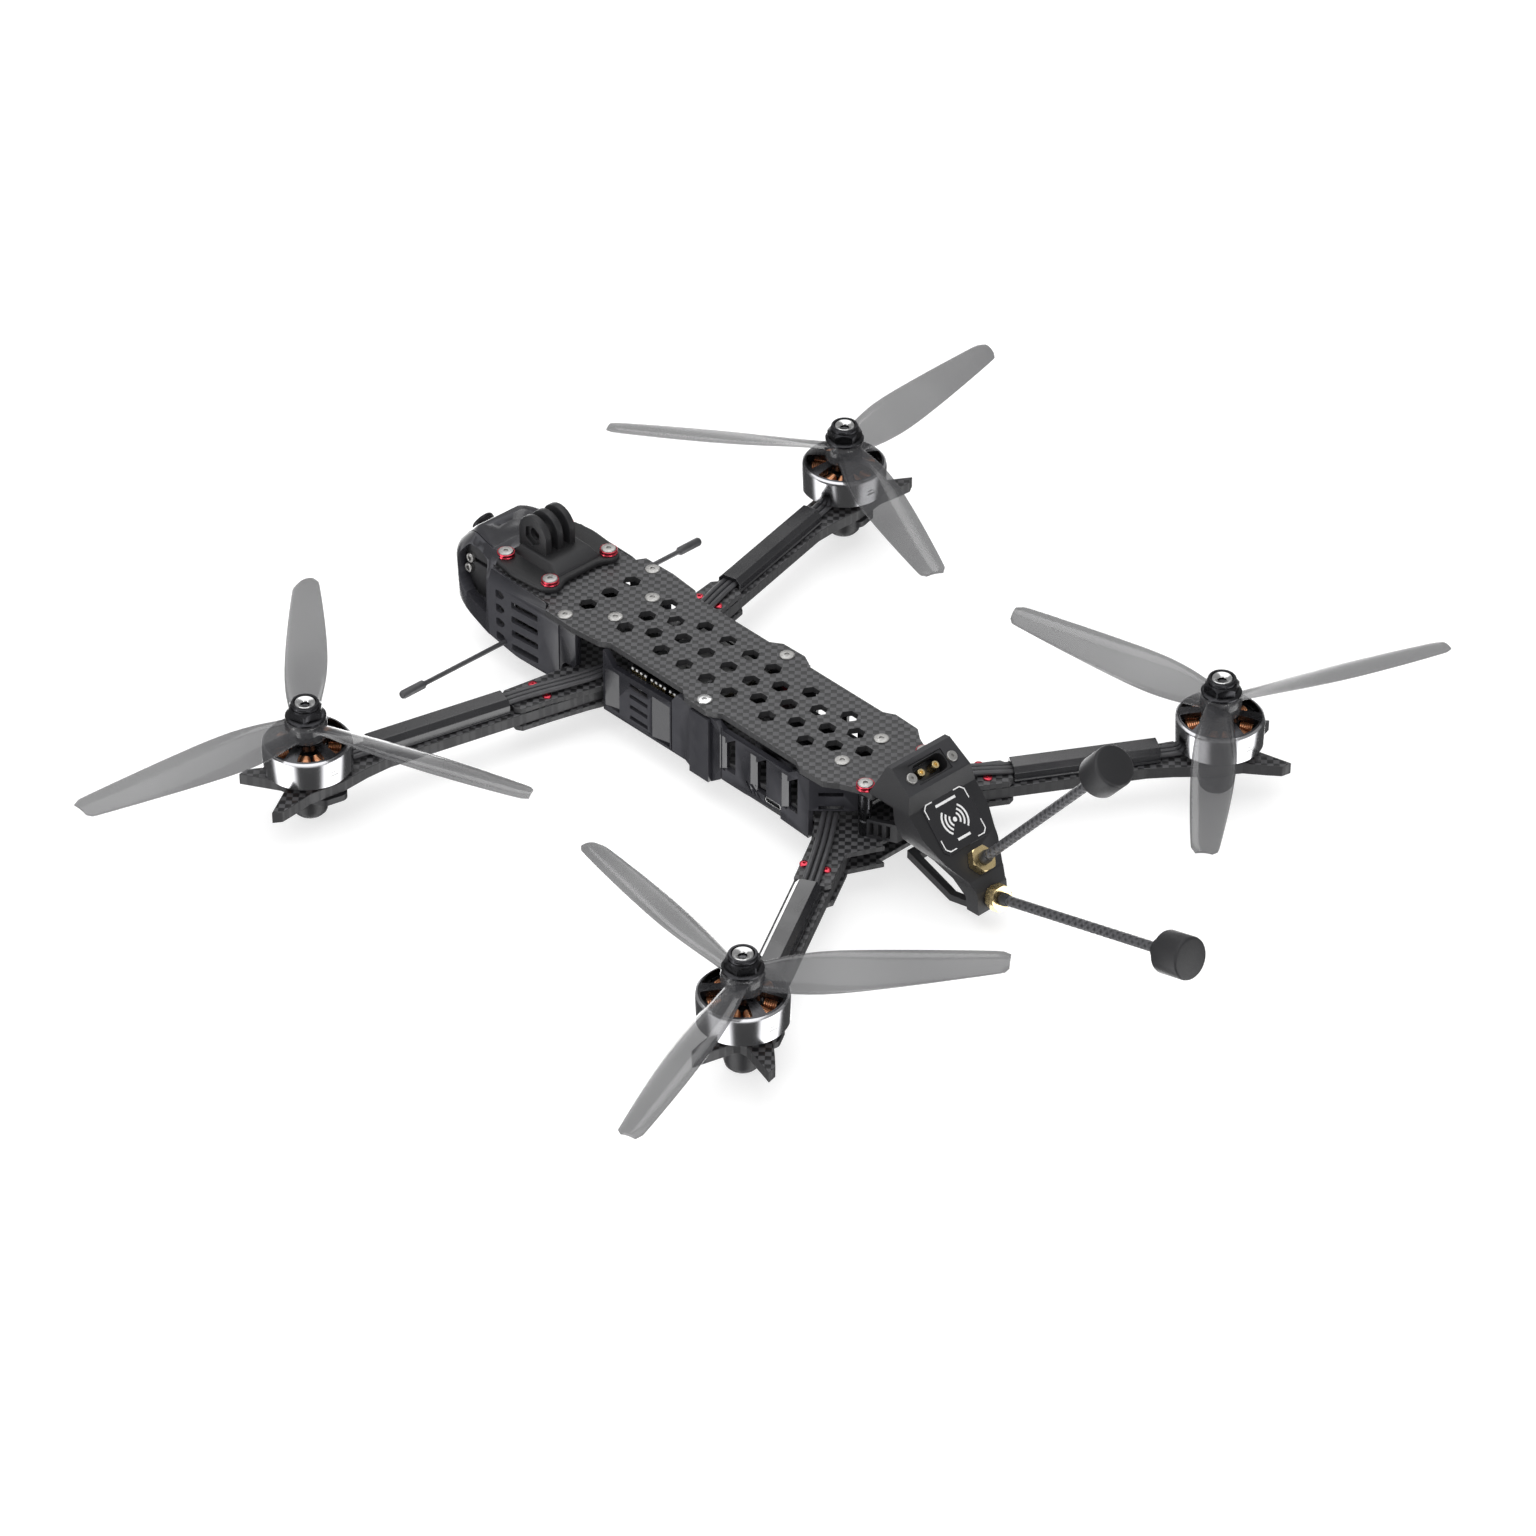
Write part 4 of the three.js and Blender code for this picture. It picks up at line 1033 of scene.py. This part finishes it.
# ---- action-camera mount ---------------------------------------------------------------------------
def camera_mount():
    """A thick plate with a sloping spine and three round fins; the left fin holds a hexagon nut."""
    low = ROOF + CLEARANCE
    plate = prism(rounded(both_sides([(10, -142), (17.5, -141.5), (20, -138), (21.4, -128), (20.2, -114),
                                      (18.4, -109.5), (14.4, -107.6), (9, -110.6)]), 2.2), low, low + 2.6)
    spine = prism([(-12, low + 1), (12, low + 1), (9.6, low + 6), (-9.6, low + 6)], -139, -113, "Y")
    foot, ridge = low + 1.6, low + 7.2
    back = prism([(-120, 60), (-120, ridge), (-110, foot), (-105, foot), (-105, 60)], -20, 20, "X")
    front = prism([(-145, 60), (-145, foot), (-139.4, foot), (-135, ridge), (-135, 60)], -20, 20, "X")
    whole = carve(pre_ease(plate, 0.9), pre_ease(carve(spine, back, front), 0.6), how="UNION")
    top = [(FIN_Y + u, FIN_Z + v) for u, v in arc(8, 0, 180, 20)]
    arch = [(FIN_Y - 8, low + 4), (FIN_Y + 8, low + 4), *top]
    fins = [pre_ease(prism(arch, x - 1.5, x + 1.5, "X"), 0.5, segments=2) for x in (-6, 0, 6)]
    whole = carve(whole, *fins, how="UNION")
    bore = move(drum(2.6, -12, 12, 40), at(0, FIN_Y, FIN_Z) @ turned(90, "Y"))
    pocket = prism([(FIN_Y + u, FIN_Z + v) for u, v in hexagon(4.5, 30)], 6.1, 9, "X")
    return carve(whole, bore, pocket)


finish(camera_mount(), "camera_mount", SOFT, ease=0.18, replaces="action_camera_mount")


# ---- tail ----
finish(cast("tail_mount"), "tail_boom", SOFT, ease=0.55, replaces="tail_mount")
finish(cast("tail_bracket"), "tail_bracket_walls", SOFT, ease=0.3, replaces="tail_bracket")

SOCKET = at(0, 79, 41.8) @ turned(math.degrees(-0.62), "X")


def socket_rim():
    """The rounded mouth of the battery socket."""
    rim = prism([(-8.15, -4.15), (8.15, -4.15), (8.15, 4.15), (-8.15, 4.15)], -7.9, -0.25)
    return carve(rim, prism(oblong(-7.6, 7.6, -3.5, 3.5, 3.4), -9, 1))


finish(prism(oblong(-7.3, 7.3, -3.2, 3.2, 3.1), -8.6, -5.9), "battery_socket", GLOSS,
       ease=0.2, replaces="battery_connector", place=SOCKET)
finish(socket_rim(), "socket_rim", SOFT, ease=0.3, place=SOCKET)
repeat(lathe([(0, -5.7), (1.75, -5.7), (1.75, -2.2), (1.4, -1.5), (0.7, -1.5), (0.7, -3), (0, -3)], 32),
       [(-3.6,), (3.6,)], "socket_pins", GOLD, place=SOCKET)
repeat(button_head(2.2, 1.1), [(-10.2, 0.6), (10.2, 0.6)], "socket_screws", STEEL, 0.08, SOCKET)
finish(cast("gps_module"), "gps_board", BOARD, ease=0.2, replaces="gps_module")

SLOPE = at(0, 91.9, 24.9) @ turned(-45, "X")
LABEL_SIZE = Matrix.Diagonal((1.18, 1.22, 1.0, 1.0))
LABEL_TOP = 0.42


def label_plate():
    return prism([(-7.8, -8.6), (7.8, -8.6), (9.2, -6.8), (9.6, 7.2), (8.0, 8.8), (-8.0, 8.8), (-9.6, 7.2),
                  (-9.2, -6.8)], 0.02, LABEL_TOP)


def bar(reach, low, high):
    return [(-reach, low), (reach, low), (reach, high), (-reach, high)]


def label_print():
    """A broadcast symbol, corner brackets and two plain bars where a caption would be."""
    shapes = [arc(0.75, 0, 345, 23), *[arc_band(r, 0.62, m, 48) for r in (1.7, 3.1, 4.5) for m in (0, 180)],
              bar(2.6, 5.4, 6.2), bar(4.2, -6.4, -5.6)]
    bracket = [(8.7, 3.6), (8.7, 6.7), (7.3, 8.0), (4.6, 8.0), (4.6, 7.65), (7.15, 7.65), (8.35, 6.55),
               (8.35, 3.6)]
    shapes += [[(sx * u, sy * v) for u, v in bracket] for sx in (-1, 1) for sy in (-1, 1)]
    return join("label_print", [prism(shape, LABEL_TOP, LABEL_TOP + 0.1) for shape in shapes])


finish(move(label_plate(), LABEL_SIZE), "label_plate", GLOSS, ease=0.12, place=SLOPE)
finish(move(label_print(), LABEL_SIZE), "label_print", WHITE, ease=0, place=SLOPE)

# Each video antenna: where it leaves the tail (y, z), its slope in degrees, and how far it reaches.
ANTENNAS = {"upper": (104.4, 12.2, 50.5, 102.3), "lower": (112.4, 1.5, 15.5, 101.2)}


def braid(low, high, radius):
    """A sleeve whose crossing strands stand out as real relief."""
    pitch = 3.4
    count = int((high - low) / 0.4)
    made = lathe([(radius, low + (high - low) * i / count) for i in range(count + 1)], 56)
    for vert in made.data.vertices:
        spin = math.atan2(vert.co.y, vert.co.x) * 4
        rise = vert.co.z / MM * 2 * math.pi / pitch
        lift = max(math.sin(spin + rise), math.sin(spin - rise))
        grow = 1 + (0.09 * lift - 0.05) / radius
        vert.co.x *= grow
        vert.co.y *= grow
    made.data.validate()
    return made


def video_antenna(key):
    y, z, slope, reach = ANTENNAS[key]
    place = at(0, y, z) @ turned(slope - 90, "X")

    def put(made, name, material, slot, ease=0, node=None):
        finish(made, f"{name}_{key}", material, ease=ease, replaces=node and f"{node}_{key}",
               place=place)

    collar = lathe([(0, 5.1), (2.5, 5.1), (2.5, 7), (2.1, 8.8), (0, 8.8)], 40)
    put(collar, "antenna_collar", SOFT, "antenna_black", 0.2, "video_antenna")
    put(braid(8.4, reach - 16.2, 1.9), "antenna_sleeve", BRAID, "antenna_black")
    cap = lathe([(0, -16.4), (3.9, -16.4), (4, -16.2), (4, -12.6), (4.3, -12.4), (7.2, -12.4), (7.8, -12.1),
                 (8, -11.5), (8, -1.1), (7.85, -0.55), (7.5, -0.15), (7, 0), (0, 0)], 72)
    put(move(cap, at(0, 0, reach)), "antenna_cap", SOFT, "antenna_black")
    threads = [(3.1 - 0.28 * (i % 2), -7 + 0.32 * i) for i in range(37)]
    put(lathe([(0, -7.2), *threads, (0, 4.8)], 40), "sma_barrel", GOLD, "gold", node="sma_socket")
    chamfer = lathe([(0, 1.2), (5, 1.2), (5.35, 1.5), (5.35, 4.6), (4.8, 5.0), (0, 5.0)], 60)
    put(carve(prism(hexagon(5.3), 1.1, 5.1), chamfer, how="INTERSECT"), "sma_nut", GOLD, "gold", 0.12)
    put(drum(4.5, 0.5, 1.1, 40, bore=3.2), "sma_washer", GOLD, "gold", 0.1)


for antenna_key in ANTENNAS:
    video_antenna(antenna_key)


def receiver_antenna():
    rod = lathe([(0, 24.9), (0.95, 24.9), (0.95, 64.8), (1.2, 65.6), (1.7, 66.2), (1.75, 66.8), (1.75, 76.2),
                 (1.4, 76.9), (0, 77)], 32)
    return move(rod, at(0, -128.5, 1.9) @ turned(90, "Y"))


pair(receiver_antenna(), "whip", SILICONE, 0, "receiver_antenna")


# ---- screws, washers and posts ----
def both(*spots):
    return [(side * x, y) for x, y in spots for side in (-1, 1)]


PLAIN_SCREWS = [*both((10.0, 43.4), (22.4, -95.6), (9.5, -81.5)), (-21.1, -19.1)]
CROWNED = [*[(x, y, ROOF) for x, y in both((15.1, 60.9))],
           *[(x, y, ROOF + 2.9) for x, y in both((15.0, -112.5), (15.1, -137.9))]]
repeat(button_head(2.95, 0.6), [(x, y, ROOF) for x, y in PLAIN_SCREWS], "plate_screws", STEEL)
finish(move(button_head(2.95, 0.6), at(21.1, -19.1, ROOF)), "bright_screw", BRIGHT, ease=0.1)
repeat(button_head(2.95, 0.7), [(x, y, z + 1.6) for x, y, z in CROWNED], "crown_screws", STEEL)
repeat(cup_washer(3.5, 1.9, 1.6), CROWNED, "red_washers", RED, 0.12)

for side in ("left", "right"):
    dress(f"standoff_{side}", RED, 0.2)


def post():
    return lathe([(0, DECK), (2.5, DECK), (2.5, DECK + 6), (2.1, DECK + 6.4), (2.1, ROOF_UNDER - 6.4),
                  (2.5, ROOF_UNDER - 6), (2.5, ROOF_UNDER), (0, ROOF_UNDER)], 32)


repeat(post(), both((15.0, 61.2), (15.0, -112.5), (15.1, -132)), "posts", DARK_BELL, 0)


def root_screws():
    """Where the red screws that clamp each arm between the plates stand."""
    spots = []
    for key, corner in CORNERS.items():
        spot = Vector(JOINTS[f"rotor_spin_{key}"]["pos_m"]) / MM
        turn = math.radians(corner["out"])
        for along, across in ((-97.8, 5.0), (-96.7, -4.4)) if spot.y < 0 else ((-90.4, 4.6), (-91.6, -4.2)):
            side = across * corner["rear"]
            spots.append((spot.x + along * math.cos(turn) - side * math.sin(turn),
                          spot.y + along * math.sin(turn) + side * math.cos(turn), DECK))
    return spots


repeat(button_head(1.8, 0.7), root_screws(), "root_screws", RED, 0.2)


# ---- electronics ----
for node, material in (("esc_board", BOARD), ("flight_controller", BOARD), ("video_transmitter", HEAT_SINK),
                       ("receiver_board", BOARD), ("power_capacitor", GLOSS)):
    dress(node, material, 0.15)


def board_parts(low, seed, count, x_range, y_range):
    """Small surface-mounted parts in rows."""
    dice = random.Random(seed)
    spots = []
    for _ in range(count):
        x = round(dice.uniform(*x_range) * 2) / 2
        y = round(dice.uniform(*y_range) * 2) / 2
        spots.append(at(x, y, low) @ turned(dice.choice((0, 90)), "Z"))
    return scatter("chips", block(-0.5, 0.5, -0.9, 0.9, -0.1, 0.6), spots)


finish(board_parts(21.2, 3, 60, (-17, 17), (-61, -27)), "stack_chips", LAMINATION, ease=0.05)
finish(board_parts(14, 5, 50, (-19, 19), (-63, -25)), "esc_chips", WHITE, ease=0.05)


PLUG_SPOTS = (-55.6, -44.9, -34.6)


def plug():
    return carve(block(16.8, 20.7, -4.4, 4.4, 21.1, 24.4), block(17.6, 19.4, -3.8, 3.8, 22.4, 26))


def pin_spots(pitch, count):
    """Places for a row of pins along the outer face of each plug."""
    return [(0, y + pitch * (i - (count - 1) / 2)) for y in PLUG_SPOTS for i in range(count)]


repeat(plug(), [(0, y) for y in PLUG_SPOTS], "stack_plugs", HEAT_SINK)
repeat(block(20.65, 21.05, -0.28, 0.28, 21.5, 22.9), pin_spots(1.2, 7), "plug_pins", GOLD, 0.04)
repeat(block(20.65, 21.0, -0.5, 0.5, 23.2, 24), pin_spots(2.4, 4), "plug_latches", WHITE,
       0.04)


# ---- stage ----
def add_camera():
    az, el, roll = (math.radians(v) for v in (AZIMUTH, ELEVATION, ROLL))
    back = Vector((math.sin(az) * math.cos(el), -math.cos(az) * math.cos(el), math.sin(el)))
    level = Vector((math.cos(az), math.sin(az), 0))
    upright = back.cross(level)
    right = level * math.cos(roll) + upright * math.sin(roll)
    up = upright * math.cos(roll) - level * math.sin(roll)
    spot = right * EYE_OFFSET[0] + up * EYE_OFFSET[1] + back * EYE_DISTANCE + Vector((0, 0, AIM_Z))
    data = bpy.data.cameras.new("view")
    data.lens = LENS
    data.sensor_width = 36
    data.sensor_height = 36
    data.clip_start = 0.05
    made = add_object("view", data)
    made.matrix_world = Matrix.Translation(spot) @ Matrix((right, up, back)).transposed().to_4x4()
    bpy.context.scene.camera = made


def add_floor():
    half = 6.0 / MM
    made = mesh_object("floor", [(x * half, y * half, FLOOR_Z / MM - 0.05) for x, y in
                                 ((-1, -1), (1, -1), (1, 1), (-1, 1))], [[0, 1, 2, 3]])
    made.data.materials.append(pale_floor())
    made.visible_glossy = False


def add_light(name, spot, size, power, mirrored=True):
    """A rectangular area light that faces the drone."""
    data = bpy.data.lights.new(name, "AREA")
    data.shape = "RECTANGLE"
    data.size, data.size_y = size
    data.energy = power
    made = add_object(name, data)
    made.visible_glossy = mirrored
    made.location = spot
    made.rotation_euler = (-Vector(spot)).to_track_quat("-Z", "Y").to_euler()


def add_world():
    """A plain studio: light above and all round, and below the horizon dark cloth with three broad panels."""
    world = bpy.data.worlds.new("studio")
    world.use_nodes = True
    bpy.context.scene.world = world
    sky = Wiring(world.node_tree)
    x, y, z = sky.split(sky.node("TexCoord").outputs["Generated"])
    heading = sky.math("ADD", sky.math("MULTIPLY", sky.math("ARCTAN2", y, x), 3.0), math.radians(PANEL_PHASE))
    panel = sky.math("MULTIPLY_ADD", sky.math("SINE", heading), 1.2, 0.2, clamp=True)
    below = sky.math("MULTIPLY_ADD", panel, PANEL_LIGHT, CLOTH_LIGHT)
    above = sky.math("MULTIPLY_ADD", sky.math("MAXIMUM", z, 0.0), ZENITH_LIGHT - SKY_LIGHT, SKY_LIGHT)
    glow = sky.math("POWER", sky.math("SUBTRACT", 1.0, sky.math("ABSOLUTE", z)), 9.0)
    above = sky.math("MULTIPLY_ADD", glow, HORIZON_LIGHT, above)
    up = sky.math("MULTIPLY_ADD", z, 8.0, 1.2, clamp=True)
    light = sky.math("ADD", sky.math("MULTIPLY", above, up),
                     sky.math("MULTIPLY", below, sky.math("SUBTRACT", 1.0, up)))
    backdrop = sky.tree.nodes["Background"]
    sky.wire(light, backdrop.inputs["Strength"])
    sky.wire((1, 1, 1, 1), backdrop.inputs["Color"])


add_camera()
add_floor()
add_world()
add_light("key_box", (0.2, -0.2, 1.9), (2.4, 2.4), 30)
add_light("near_box", (1.3, 1.3, 1.0), (1.0, 0.8), 6, mirrored=False)
add_light("sheen_box", (-0.62, -0.66, 0.93), (0.42, 0.42), 1.6)
add_light("left_strip", (1.4, -0.5, 0.5), (0.3, 1.2), 6)
add_light("tail_box", (0.5, 1.5, 0.8), (1.2, 0.3), 6)
bpy.context.scene.view_settings.view_transform = "Standard"
